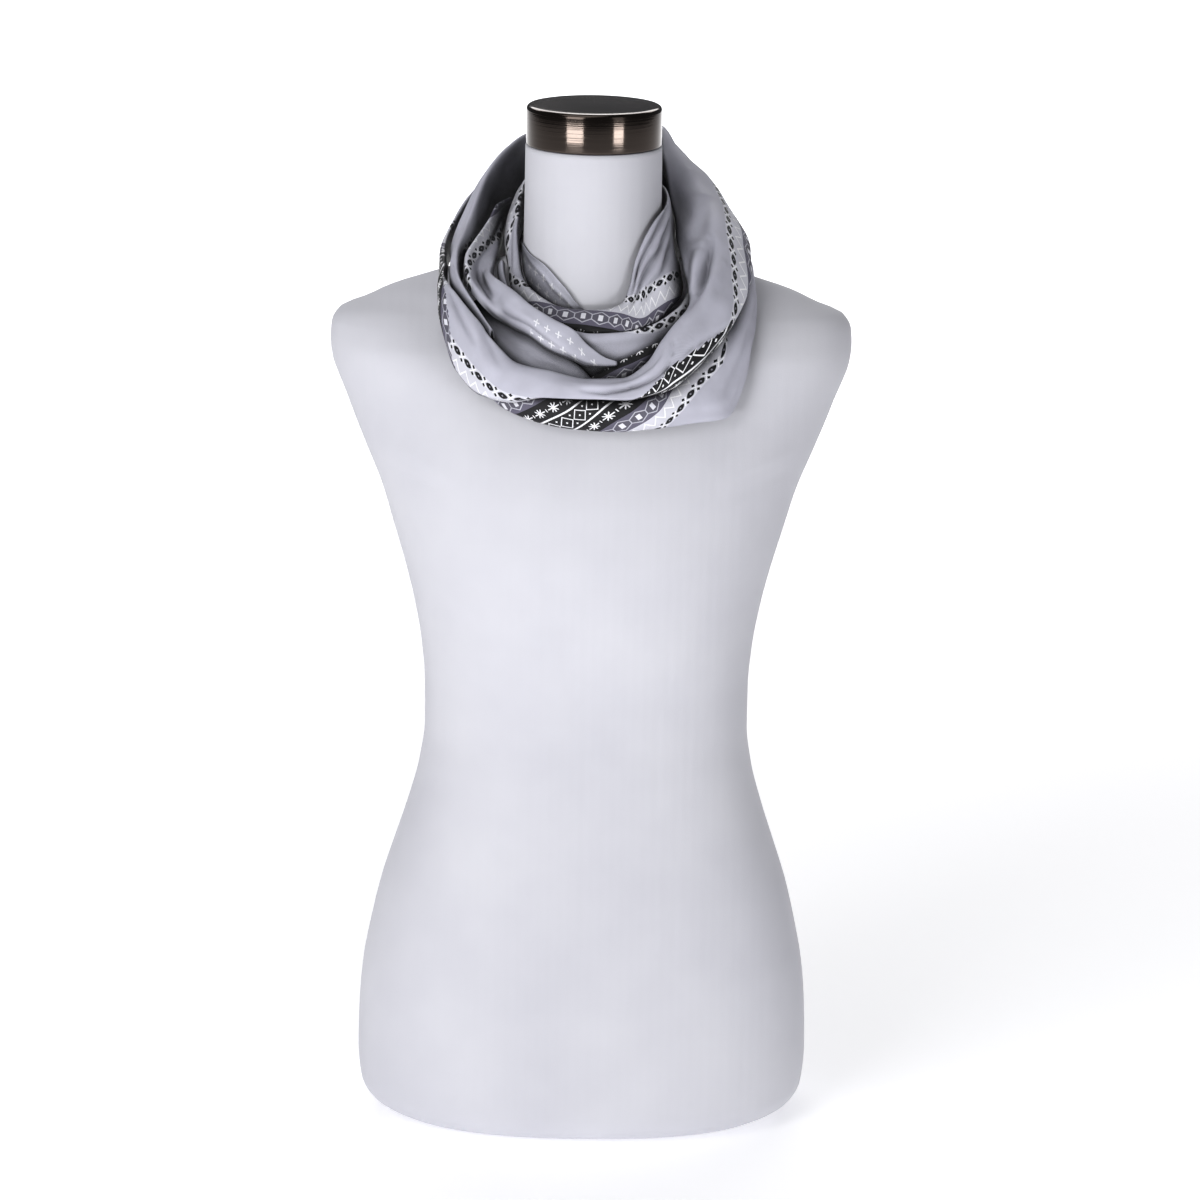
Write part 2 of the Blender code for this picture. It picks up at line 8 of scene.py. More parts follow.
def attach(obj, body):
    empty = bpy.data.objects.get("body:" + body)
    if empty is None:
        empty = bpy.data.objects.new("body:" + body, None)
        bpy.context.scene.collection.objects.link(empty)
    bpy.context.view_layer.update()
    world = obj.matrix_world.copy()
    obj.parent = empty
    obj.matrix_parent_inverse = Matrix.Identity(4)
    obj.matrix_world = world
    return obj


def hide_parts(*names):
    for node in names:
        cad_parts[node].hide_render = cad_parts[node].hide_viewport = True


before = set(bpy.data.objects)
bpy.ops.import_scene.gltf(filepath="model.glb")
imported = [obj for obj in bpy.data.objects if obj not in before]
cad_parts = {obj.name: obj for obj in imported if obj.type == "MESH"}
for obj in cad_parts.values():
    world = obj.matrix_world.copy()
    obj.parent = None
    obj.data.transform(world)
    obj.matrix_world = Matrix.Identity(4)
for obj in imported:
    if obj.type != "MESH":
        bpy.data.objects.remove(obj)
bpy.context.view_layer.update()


# ---- Studio ----
# A pale floor in a plain white room, with two tall softboxes either side of the camera. The two
# low panels under them give the upright highlights on the metal cap.

def linear(colour):
    """Turns an sRGB hex colour such as "A0B0C0" into linear RGBA."""
    parts = [int(colour[i:i + 2], 16) / 255 for i in (0, 2, 4)]
    return [c / 12.92 if c <= 0.04045 else ((c + 0.055) / 1.055) ** 2.4 for c in parts] + [1]


def add_node(tree, kind, *inputs, out=0, **settings):
    """Adds one node, sets it, links or sets its inputs in order (None skips one), returns an output."""
    made = tree.nodes.new("ShaderNode" + kind)
    for name, value in settings.items():
        setattr(made, name, value)
    for socket, value in zip(made.inputs, inputs):
        if isinstance(value, bpy.types.NodeSocket):
            tree.links.new(value, socket)
        elif value is not None:
            socket.default_value = value
    return made.outputs[out]


def new_material(name, roughness, metallic=0.0, sheen=0.0):
    """A material with its shader's even values set; returns it, its tree and its shader."""
    made = bpy.data.materials.new(name)
    made.use_nodes = True
    shader = made.node_tree.nodes["Principled BSDF"]
    shader.inputs["Roughness"].default_value = roughness
    shader.inputs["Metallic"].default_value = metallic
    shader.inputs["Sheen Weight"].default_value = sheen
    shader.inputs["Sheen Roughness"].default_value = 0.45
    return made, made.node_tree, shader


def add_piece(name, points, faces, finish):
    """Makes a smooth-shaded mesh piece from points in metres."""
    mesh = bpy.data.meshes.new(name)
    mesh.from_pydata([tuple(p) for p in points], [], faces)
    mesh.materials.append(finish)
    mesh.shade_smooth()
    piece = bpy.data.objects.new(name, mesh)
    bpy.context.scene.collection.objects.link(piece)
    return piece


def turned_to(place, aim):
    """Where a lamp or camera at a place stands when it looks at the aim."""
    return Matrix.Translation(place) @ (aim - place).to_track_quat("-Z", "Y").to_matrix().to_4x4()


FLOOR_SIDE = 14.0
FLOOR_DIP = 0.0005          # the floor lies this far below the form's flat bottom
SCARF_HEIGHT = 0.7
BOX_DISTANCE = 2.1
BOXES = [                   # name, turn from the front, middle's height, width, height, watts
    ("softbox_left", -33, 1.40, 1.10, 1.30, 18),
    ("softbox_right", 42, 1.30, 0.70, 1.30, 2.2),
    ("low_panel_left", -32, 0.43, 1.05, 0.26, 13.5),
    ("low_panel_right", 42, 0.43, 0.62, 0.26, 8.2),
]

painted_floor, tree, shader = new_material("painted studio floor", roughness=0.9)
mottle = add_node(tree, "TexNoise", None, None, 3.0)
tone = add_node(tree, "MixRGB", mottle, linear("F6F6F8"), linear("FAFAFB"))
tree.links.new(tone, shader.inputs["Base Color"])
tree.links.new(tone, shader.inputs["Emission Color"])
shader.inputs["Emission Strength"].default_value = 0.40

half = FLOOR_SIDE / 2
floor = add_piece("studio_floor", [(-half, -half, -FLOOR_DIP), (half, -half, -FLOOR_DIP),
                                   (half, half, -FLOOR_DIP), (-half, half, -FLOOR_DIP)],
                  [(0, 1, 2, 3)], painted_floor)

room = bpy.data.worlds.new("white room")
room.use_nodes = True
room.node_tree.nodes["Background"].inputs["Color"].default_value = linear("F4F5FA")
room.node_tree.nodes["Background"].inputs["Strength"].default_value = 0.09
bpy.context.scene.world = room
bpy.context.scene.view_settings.view_transform = "Standard"

for name, turn, middle, width, height, watts in BOXES:
    lamp = bpy.data.lights.new(name, "AREA")
    lamp.shape = "RECTANGLE"
    lamp.size = width
    lamp.size_y = height
    lamp.energy = watts
    box = bpy.data.objects.new(name, lamp)
    turn = math.radians(turn)
    place = Vector((BOX_DISTANCE * math.sin(turn), -BOX_DISTANCE * math.cos(turn), middle))
    box.matrix_world = turned_to(place, Vector((0, 0, min(middle, SCARF_HEIGHT))))
    bpy.context.scene.collection.objects.link(box)

OVERHEAD_PLACE = Vector((-0.5, -0.6, 2.6))
overhead = bpy.data.lights.new("overhead_bank", "AREA")
overhead.size = 1.6
overhead.energy = 9.5
bank = bpy.data.objects.new("overhead_bank", overhead)
bank.matrix_world = turned_to(OVERHEAD_PLACE, Vector((0, 0, SCARF_HEIGHT)))
bpy.context.scene.collection.objects.link(bank)

backdrop_light = bpy.data.lights.new("backdrop_bank", "AREA")
backdrop_light.size = 5.0
backdrop_light.energy = 300
backdrop_bank = bpy.data.objects.new("backdrop_bank", backdrop_light)
backdrop_bank.location = (0, 5.2, 3.2)
bpy.context.scene.collection.objects.link(backdrop_bank)

CAMERA_DISTANCE = 3.5
CAMERA_RISE = math.radians(14.8)
CAMERA_LEAN = math.radians(0.845)     # the form leans a touch to the right
AIM = Vector((0.00925, 0, 0.392))
LENS_MM = 141.9
out = Vector((0, -math.cos(CAMERA_RISE), math.sin(CAMERA_RISE)))
lens = bpy.data.cameras.new("camera")
lens.lens = LENS_MM
lens.sensor_width = 36
camera = bpy.data.objects.new("camera", lens)
camera.matrix_world = turned_to(AIM + out * CAMERA_DISTANCE, AIM) @ Matrix.Rotation(CAMERA_LEAN, 4, "Z")
bpy.context.scene.collection.objects.link(camera)
bpy.context.scene.camera = camera


# ---- Dress form ----
# A limbless dress form, moulded and covered in tight white jersey: bust, waist, hips and a plain
# neck. The cover is drawn tight, with a sewn line down the centre and one over each bust. Here
# and below, left and right are as seen from the front.

FORM_LEVELS = [
    # height, half width, front, back, squareness, shoulder power, shoulder share (mm)
    (0, 128, 84, 96, 2.4, 3, 0),
    (2, 141, 92, 105, 2.4, 3, 0),
    (6, 152, 98, 112, 2.4, 3, 0),
    (12, 161, 102, 115.5, 2.4, 3, 0),
    (22, 166.5, 104.5, 118, 2.4, 3, 0),
    (47, 168.8, 105, 119.9, 2.4, 3, 0),
    (79, 168, 104, 119.9, 2.4, 3, 0),
    (111, 165.4, 102, 118, 2.4, 3, 0),
    (142, 159.7, 99, 115, 2.4, 3, 0),
    (174, 152.2, 95.5, 109, 2.4, 3, 0),
    (206, 142.1, 91.5, 101, 2.35, 3, 0),
    (237, 132.1, 88, 94, 2.3, 3, 0),
    (268, 123.9, 85, 88, 2.3, 3, 0),
    (299, 119.9, 83.5, 85, 2.25, 3, 0),
    (330, 120, 85, 85, 2.25, 3, 0),
    (361, 122.4, 91, 87, 2.25, 3, 0),
    (392, 127.6, 99, 91, 2.2, 3, 0),
    (422, 134.7, 107, 95, 2.2, 3, 0),
    (453, 143.6, 112.5, 98.5, 2.2, 3, 0),
    (483, 152.5, 112, 101, 2.2, 3, 0),
    (513, 164.6, 106, 101.5, 2.2, 3, 0),
    (535, 173.4, 98, 100, 2.2, 3.5, 0.15),
    (550, 179, 91, 98, 2.2, 3.6, 0.35),
    (562, 184, 84, 95, 2.2, 3.8, 0.6),
    (575, 188.5, 74.5, 92, 2.2, 4.2, 0.85),
    (588, 190, 66, 88, 2.2, 5, 1),
    (600, 189.2, 60, 82, 2.2, 7, 1),
    (610, 183.5, 56, 76, 2.2, 10, 1),
    (618, 165, 54, 71, 2.2, 13, 1),
    (626, 149, 53, 66, 2.2, 19, 1),
    (631, 136, 52.2, 63.5, 2.2, 30, 1),
    (636, 120, 51.6, 61, 2.2, 44, 1),
    (641, 104, 51, 58.5, 2.2, 46, 1),
    (643.5, 88, 50.6, 56.5, 2.2, 46, 1),
    (647, 70, 50.3, 55, 2.2, 46, 1),
    (650.5, 58, 50.1, 53.5, 2.2, 34, 1),
    (654.5, 52, 50, 52, 2.2, 20, 1),
    (661, 50.2, 50, 50.6, 2.2, 12, 1),
    (680, 49.8, 49.8, 50, 2.2, 8, 1),
    (700, 49.6, 49.6, 49.6, 2.2, 6, 1),
    (732, 49.4, 49.4, 49.4, 2.2, 6, 1),
]
FORM_RINGS = 230
FORM_SIDES = 216
FORM_TOP = 731.5
NECK_DEPTH = 50             # no section narrower than this counts as a shoulder
BACK_NARROWNESS = 0.75      # the shoulders reach a little further round at the back
SIDE_CROWDING = 0.25
RING_CROWDING = 0.10        # the rings lie closer together half way up
CREASE_MM_PER_DEGREE = 2.2  # creases on the form are placed as if it were 126 mm in radius
FORM_CREASES = [
    # height of the ridge, half width (mm), line of (angle, height)
    (-0.25, 0.9, [(0, 10), (0, 300), (0, 610)]),
    (-0.50, 1.3, [(38, 30), (36, 180), (33, 300), (38, 400), (45, 500)]),
    (-0.20, 1.1, [(-38, 30), (-36, 180), (-33, 300), (-38, 400), (-45, 500)]),
    (1.0, 5, [(46, 500), (56, 512), (70, 522)]),
    (-0.9, 4, [(50, 490), (60, 500), (72, 508)]),
    (-0.7, 5, [(42, 512), (50, 530), (62, 548)]),
    (0.9, 5, [(-46, 500), (-58, 514), (-72, 524)]),
    (-0.9, 4, [(-50, 492), (-62, 500), (-74, 510)]),
    (0.7, 5, [(-44, 470), (-56, 482), (-66, 492)]),
    (0.6, 6, [(8, 402), (18, 399), (27, 394)]),
]


def smooth_between(marks, values, at, closed=False):
    """Monotone cubic through (mark, value) pairs; closed repeats them every 360 degrees."""
    marks, values = np.array(marks, float), np.array(values, float)
    if closed:
        marks = np.concatenate([marks[-2:] - 360, marks, marks[:2] + 360])
        values = np.concatenate([values[-2:], values, values[:2]])
    gap = np.diff(marks)
    rise = np.diff(values) / gap
    slope = np.concatenate([rise[:1], np.zeros(len(rise) - 1), rise[-1:]])
    for i in range(1, len(rise)):
        if rise[i - 1] * rise[i] > 0:
            before, after = 2 * gap[i] + gap[i - 1], gap[i] + 2 * gap[i - 1]
            slope[i] = (before + after) / (before / rise[i - 1] + after / rise[i])
    i = np.clip(np.searchsorted(marks, at) - 1, 0, len(gap) - 1)
    t = (at - marks[i]) / gap[i]
    return ((2 * t**3 - 3 * t**2 + 1) * values[i] + (t**3 - 2 * t**2 + t) * gap[i] * slope[i]
            + (3 * t**2 - 2 * t**3) * values[i + 1] + (t**3 - t**2) * gap[i] * slope[i + 1])


def crease_height(along, across, creases):
    """Height in mm of all the creases at each point. A crease follows a line and fades at both ends."""
    height = np.zeros(np.broadcast(along, across).shape)
    for lift, half_width, line in creases:
        line = np.array(line, float)
        lengths = np.linalg.norm(np.diff(line, axis=0), axis=1)
        nearest, share = np.full(height.shape, 1e6), np.zeros(height.shape)
        runs, passed = np.diff(line, axis=0), lengths.cumsum() - lengths
        for start, run, length, before in zip(line, runs, lengths, passed):
            part = np.clip(((along - start[0]) * run[0] + (across - start[1]) * run[1]) / length**2, 0, 1)
            off = np.hypot(along - start[0] - part * run[0], across - start[1] - part * run[1])
            share = np.where(off < nearest, (before + part * length) / lengths.sum(), share)
            nearest = np.minimum(off, nearest)
        height += lift * np.exp(-(nearest / half_width) ** 2) * np.sqrt(np.abs(np.sin(math.pi * share)))
    return height


def form_radius(angle, level):
    """Radius at an angle in radians: an oval low down, a round neck with shoulder wings higher up."""
    _, side, front, back, squareness, power, share = level
    sine, cosine = np.abs(np.sin(angle)), np.cos(angle)
    depth = np.where(cosine >= 0, front, back)
    neck_side = min(side, max(front, NECK_DEPTH))
    oval = ((sine / side) ** squareness + (np.abs(cosine) / depth) ** squareness) ** (-1 / squareness)
    neck = 1 / np.hypot(sine / neck_side, cosine / depth)
    wings = neck + (side - neck_side) * sine ** np.where(cosine >= 0, power, power * BACK_NARROWNESS)
    return oval * (1 - share) + wings * share


def grid_faces(rows, sides, closed):
    """Quads of a grid of rows x sides points; closed joins the last side to the first."""
    faces = []
    for i in range(rows - 1):
        for j in range(sides if closed else sides - 1):
            here, beside = i * sides + j, i * sides + (j + 1) % sides
            faces.append((here, beside, beside + sides, here + sides))
    return faces


def ring_points(angles, radius, height):
    """A ring of points round the form's axis, in metres, from millimetres."""
    x, y = radius * np.sin(angles) / 1000, -radius * np.cos(angles) / 1000
    return zip(x, y, [height / 1000] * len(angles))


heights = np.linspace(0, 1, FORM_RINGS)
heights = FORM_TOP * (heights + RING_CROWDING * np.sin(2 * math.pi * heights) / (2 * math.pi))
levels = np.array(FORM_LEVELS, float)
columns = [smooth_between(levels[:, 0], levels[:, k], heights) for k in range(7)]
even = np.arange(FORM_SIDES) * 2 * math.pi / FORM_SIDES
angles = even + SIDE_CROWDING * np.sin(2 * even)      # closer together over the narrow shoulders
form_creases = [(lift, half_width, [(turn * CREASE_MM_PER_DEGREE, height) for turn, height in line])
                for lift, half_width, line in FORM_CREASES]
points = []
for i, height in enumerate(heights):
    level = [column[i] for column in columns]
    radius = form_radius(angles, level)
    turned = (np.degrees(angles) + 180) % 360 - 180
    ring_height = np.full(FORM_SIDES, height)
    radius = radius + crease_height(turned * CREASE_MM_PER_DEGREE, ring_height, form_creases)
    points += ring_points(angles, radius, height)
faces = grid_faces(FORM_RINGS, FORM_SIDES, closed=True)
faces += [tuple(range(FORM_SIDES))[::-1], tuple(range(len(points) - FORM_SIDES, len(points)))]

# Tight white cotton jersey: matt, with the fine ribs of the knit and a little unevenness.
# Its ribs are 0.5 mm apart. They are drawn 7.54 mm apart, with a 1.2 mm grain, so that they show.
jersey, tree, shader = new_material("tight white cotton jersey", roughness=0.82, sheen=0.12)
RIB_MM = 7.54
GRAIN_MM = 1.2
WAVE_TURN = 20              # radians that the wave texture runs through in one of its units
place = add_node(tree, "NewGeometry")
patches = add_node(tree, "TexNoise", place, None, 9.0, 3.0)
tone = add_node(tree, "MapRange", patches, 0.35, 0.65)
tone = add_node(tree, "MixRGB", tone, linear("C7C7CF"), linear("CFCFD6"))
tree.links.new(tone, shader.inputs["Base Color"])
rib_scale = 1000 * 2 * math.pi / RIB_MM / WAVE_TURN
ribs = add_node(tree, "TexWave", place, rib_scale, 1.5, 2.0, 2.0, bands_direction="X")
grain = add_node(tree, "TexNoise", place, None, 1000 / GRAIN_MM, 2.0)
knit = add_node(tree, "Math", ribs, grain, operation="ADD")
bump = add_node(tree, "Bump", 0.10, 0.0006)
tree.links.new(knit, tree.nodes["Bump"].inputs["Height"])
tree.links.new(bump, shader.inputs["Normal"])

form = add_piece("form_jersey_torso", points, faces, jersey)
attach(form, "root")
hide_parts("form_torso")


# ---- Neck cap ----
# A turned steel cap over the neck, plated in dark polished gunmetal. Its lip is softly rounded
# and its top is very slightly domed.

CAP_PROFILE = [             # radius, height (mm), from the underside to the middle of the top
    (0, 732.0), (40, 732.0), (47.6, 732.0), (48.5, 732.2), (48.9, 732.8), (49.0, 733.6),
    (49.0, 745.0), (49.0, 757.4), (48.8, 758.8), (48.2, 759.9), (47.1, 760.6), (45.6, 760.9),
    (38, 760.95), (20, 761.0), (0, 761.0),
]
CAP_SIDES = 192
points, cap_angles = [], np.arange(CAP_SIDES) * 2 * math.pi / CAP_SIDES
for radius, height in CAP_PROFILE[1:-1]:
    points += ring_points(cap_angles, radius, height)
faces = grid_faces(len(CAP_PROFILE) - 2, CAP_SIDES, closed=True)
faces += [tuple(range(CAP_SIDES))[::-1], tuple(range(len(points) - CAP_SIDES, len(points)))]

# Polished gunmetal plating: dark, nearly a mirror, with faint turning marks round the side.
gunmetal, tree, shader = new_material("polished gunmetal plating", roughness=0.08, metallic=1.0)
place = add_node(tree, "NewGeometry")
stretched = add_node(tree, "Mapping", place, None, None, (6, 6, 900))
turning = add_node(tree, "TexNoise", stretched, None, 1.0, 2.0)
tone = add_node(tree, "MixRGB", turning, linear("463F3B"), linear("504843"))
tree.links.new(tone, shader.inputs["Base Color"])
rub = add_node(tree, "MapRange", turning, 0.3, 0.7, 0.07, 0.16)
tree.links.new(rub, shader.inputs["Roughness"])
bump = add_node(tree, "Bump", 0.12, 0.0004)
tree.links.new(turning, tree.nodes["Bump"].inputs["Height"])
tree.links.new(bump, shader.inputs["Normal"])

cap = add_piece("neck_cap_gunmetal", points, faces, gunmetal)
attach(cap, "root")
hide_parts("neck_cap")


# ---- Printed scarf cloth ----
# Plain silver grey with one printed border of rows that mirror about a chain of diamonds, and
# small crosses along the hem. Each point of the cloth carries its place on the flat cloth in mm:
# along the border, across it from the first row of beads, and in from the hem.

SILVER, PALE, SLATE, BLACK, CHALK = "B4B4C1", "CCCCD6", "5C596A", "09080D", "F2F2F6"
CELL, CELL_EDGE, CELL_BLOCK, BEAD_EYE, CROSS = "55535F", "B9B9C4", "DEDEE6", "8A8894", "E4E4EA"
REPEAT = 12.5               # every row but the beads and the zigzag repeats this often (mm)
BEAD_REPEAT, ZIGZAG_REPEAT, CROSS_REPEAT = 10.5, 9.0, 9.4
BORDER_MIDDLE = 50.0        # the diamonds, as far from one row of beads as from the other
SLATE_ROW, BLACK_ROW, PALE_FROM = 14.0, 28.0, -3.5
HEXAGON_ROW, STAR_ROW, LINE_ROW, ZIGZAG_ROW = 21.0, 35.0, 42.0, 9.0
CROSS_ROWS = (9.0, 18.0)
NO_HEM = 900.0              # given as the distance from the hem where the hem is far off


def print_cloth(tree):
    """Draws the printed border; returns its colour and the place along and across the cloth."""
    def off(value, middle):
        away = add_node(tree, "Math", value, middle, operation="SUBTRACT")
        return add_node(tree, "Math", away, operation="ABSOLUTE")

    def from_repeat(value, pitch):
        return add_node(tree, "Math", value, pitch / 2, operation="PINGPONG")

    def line(value, middle, half_width):
        return add_node(tree, "Math", value, middle, half_width, operation="COMPARE")

    def within(value, limit):
        return add_node(tree, "Math", value, limit, operation="LESS_THAN")

    def both(*shapes):
        joined = shapes[0]
        for shape in shapes[1:]:
            joined = add_node(tree, "Math", joined, shape, operation="MULTIPLY")
        return joined

    def either(*shapes):
        joined = shapes[0]
        for shape in shapes[1:]:
            joined = add_node(tree, "Math", joined, shape, operation="MAXIMUM")
        return joined

    def strokes(beside, above, half_width, tall, wide):
        upright = both(within(beside, half_width), within(above, tall))
        return either(upright, both(within(above, half_width), within(beside, wide)))

    def lay(shape, ink, under):
        return add_node(tree, "MixRGB", shape, under, linear(ink))

    flat = add_node(tree, "Attribute", attribute_name="cloth_mm", out=1)
    along, across, from_hem = (add_node(tree, "SeparateXYZ", flat, out=axis) for axis in range(3))
    row = add_node(tree, "Math", BORDER_MIDDLE, off(across, BORDER_MIDDLE), operation="SUBTRACT")

    colour = linear(SILVER)
    for row_edge, ink in ((PALE_FROM, PALE), (SLATE_ROW, SLATE), (BLACK_ROW, BLACK)):
        colour = lay(add_node(tree, "Math", row, row_edge, operation="GREATER_THAN"), ink, colour)

    # zigzag: one chalk line running up and down between the beads and the slate row
    swing = from_repeat(along, ZIGZAG_REPEAT)
    swing = add_node(tree, "Math", swing, 1.45, ZIGZAG_ROW - 3.3, operation="MULTIPLY_ADD")
    colour = lay(line(add_node(tree, "Math", row, swing, operation="SUBTRACT"), 0, 0.75), CHALK, colour)

    # hexagons: darker cells sharing their upright sides, each with a small chalk block
    beside, above = from_repeat(along, REPEAT), off(row, HEXAGON_ROW)
    slope = add_node(tree, "Math", beside, 0.536, above, operation="MULTIPLY_ADD")
    colour = lay(within(slope, 5.25), CELL, colour)
    upright = both(line(beside, REPEAT / 2, 0.36), within(above, 1.9))
    colour = lay(either(line(slope, 5.25, 0.42), upright), CELL_EDGE, colour)
    colour = lay(both(within(beside, 1.7), within(above, 2.4)), CELL_BLOCK, colour)

    # stars: eight short strokes through one point, strung on a thin line
    above = off(row, STAR_ROW)
    slant = line(add_node(tree, "Math", beside, above, operation="SUBTRACT"), 0, 0.6)
    tick = both(line(beside, REPEAT / 2, 0.35), within(above, 1.3))
    star = either(strokes(beside, above, 0.45, 3.6, 4.6), both(slant, within(beside, 2.7)), tick)
    colour = lay(star, CHALK, colour)
    colour = lay(line(row, LINE_ROW, 0.7), CHALK, colour)

    # diamonds: a chain of open squares on their corners, with a dot in each and between them
    above = add_node(tree, "Math", BORDER_MIDDLE, row, operation="SUBTRACT")
    corner = add_node(tree, "Math", beside, above, operation="ADD")
    gap = add_node(tree, "Math", REPEAT / 2, beside, operation="SUBTRACT")
    between = add_node(tree, "Math", gap, off(above, 4.3), operation="ADD")
    colour = lay(either(line(corner, 5.7, 0.5), within(corner, 0.9), within(between, 0.9)), CHALK, colour)

    # beads: black lozenges with crossed chalk threads and small black knots between them
    beside, above = from_repeat(along, BEAD_REPEAT), off(row, 0)
    gap = add_node(tree, "Math", BEAD_REPEAT / 2, beside, operation="SUBTRACT")
    thread = add_node(tree, "Math", above, gap, operation="SUBTRACT")
    thread = both(within(thread, 3.0), line(thread, 0, 0.42), within(above, 2.4))
    colour = lay(thread, CHALK, colour)
    rounded = []
    for value, half in ((beside, 3.5), (above, 2.2)):
        share = add_node(tree, "Math", value, half, operation="DIVIDE")
        rounded.append(add_node(tree, "Math", share, 1.5, operation="POWER"))
    lozenge = add_node(tree, "Math", *rounded, operation="ADD")
    knot = add_node(tree, "Math", gap, off(above, 2.3), operation="ADD")
    colour = lay(either(within(lozenge, 1.0), within(knot, 1.3)), BLACK, colour)
    eye = add_node(tree, "Math", beside, above, operation="ADD")
    colour = lay(within(eye, 0.7), BEAD_EYE, colour)

    # crosses: two rows in from the hem, the second set half a step along
    for number, hem_row in enumerate(CROSS_ROWS):
        moved = add_node(tree, "Math", along, number * CROSS_REPEAT / 2, operation="ADD")
        beside, above = from_repeat(moved, CROSS_REPEAT), off(from_hem, hem_row)
        colour = lay(strokes(beside, above, 0.5, 2.6, 2.6), CROSS, colour)
    return colour, along, across


# Satin-weave cotton: a soft, low sheen, fine threads, a slightly uneven dye, and painted shade in its
# hollows.
# The threads are 0.25 mm apart and are drawn 0.9 mm apart so that they show.
THREAD_MM = 0.9
PAINTED_SHADE_REACH = 0.10         # shade is painted into the colour where folds close over each other within this (m)
satin, tree, shader = new_material("printed satin weave", roughness=0.44, sheen=0.06)
shader.inputs["Specular IOR Level"].default_value = 0.28
ink, along, across = print_cloth(tree)
place = add_node(tree, "NewGeometry")
patches = add_node(tree, "TexNoise", place, None, 34.0, 3.0)
dye_patches_and_painted_shade = add_node(tree, "MapRange", patches, 0.3, 0.7, 0.86, 1.08)
# Painted shade: depth darkens the cloth's colour where its folds close over each other, where shade falls.
hollow = add_node(tree, "AmbientOcclusion", None, PAINTED_SHADE_REACH, out=1, samples=6)
depth = add_node(tree, "MapRange", hollow, 0.2, 0.86, 0.12, 1.05)
depth = add_node(tree, "Math", depth, 2.2, operation="POWER")
dye_patches_and_painted_shade = add_node(tree, "Math", dye_patches_and_painted_shade, depth, operation="MULTIPLY")
shade = add_node(tree, "CombineXYZ", dye_patches_and_painted_shade, dye_patches_and_painted_shade, dye_patches_and_painted_shade)
print_dye_and_painted_shade = add_node(tree, "VectorMath", ink, shade, operation="MULTIPLY")
tree.links.new(print_dye_and_painted_shade, shader.inputs["Base Color"])
threads = []
for run in (along, across):
    turns = add_node(tree, "Math", run, 2 * math.pi / THREAD_MM, operation="MULTIPLY")
    threads.append(add_node(tree, "Math", turns, operation="SINE"))
weave = add_node(tree, "Math", *threads, operation="MULTIPLY")
crumple = add_node(tree, "TexNoise", place, None, 70.0, 2.0)
relief = add_node(tree, "Math", crumple, 9.0, weave, operation="MULTIPLY_ADD")
bump = add_node(tree, "Bump", 0.35, 0.0003)
tree.links.new(relief, tree.nodes["Bump"].inputs["Height"])
tree.links.new(bump, shader.inputs["Normal"])


# ---- Inner turn, at the neck: the hem end ----
# The cloth's hemmed edge lies slanting across the front of the neck, crosses showing along it.
# It is one thickness of cloth, against the form.

CLOTH_MM = 1.0
STEP_DEGREES = 1.0          # closer together than the folds' own marks, so that folds read round
STEPS_PER_SPAN = 11
GENTLE_MM = 0.35            # how far the cloth lies from smooth between its folds
SLANT_BLUR = 15             # stations that the print's slant is evened out over


def fold_sections(table, closed):
    """Sections of a fold at even angles: radius and height along a smooth line through six points."""
    rows = np.array([(turn, border, *sum(marks, ())) for turn, border, *marks in table], float)
    first, last = rows[0, 0], rows[-1, 0] if not closed else rows[0, 0] + 360
    count = int(round((last - first) / STEP_DEGREES)) + (0 if closed else 1)
    at = first + (last - first) * np.arange(count) / (count - (0 if closed else 1))
    columns = np.array([smooth_between(rows[:, 0], column, at, closed) for column in rows.T[1:]])
    band, marks = columns[0], columns[1:].reshape(6, 2, count)
    marks = np.concatenate([2 * marks[:1] - marks[1:2], marks, 2 * marks[-1:] - marks[-2:-1]])
    line = []
    for k in range(5):
        a, b, c, d = marks[k:k + 4]
        for t in np.arange(STEPS_PER_SPAN) / STEPS_PER_SPAN:
            square, cube = (2 * a - 5 * b + 4 * c - d) * t**2, (3 * b - a - 3 * c + d) * t**3
            line.append(0.5 * (2 * b + (c - a) * t + square + cube))
    line.append(marks[6])
    return at, band, np.array(line).transpose(2, 0, 1)      # station, step, (radius, height)


def print_place(step, across, band, band_sign):
    """Place on the flat cloth, along and across the border, of every point of a stretch.

    The border runs at a slant to the fold wherever the band changes; the slant is evened out along."""
    slant = np.clip(np.gradient(band) / step, -0.92, 0.92)
    blur = np.hanning(SLANT_BLUR + 2)[1:-1]
    slant = np.convolve(np.pad(slant, SLANT_BLUR // 2, mode="edge"), blur / blur.sum(), mode="valid")
    run = np.concatenate([[0], (np.sqrt(1 - slant**2) * step).cumsum()[:-1]])
    squeeze = (1 - slant**2) ** 0.25
    return (run[:, None] - band_sign * across * slant[:, None],
            band[:, None] + band_sign * across * squeeze[:, None])


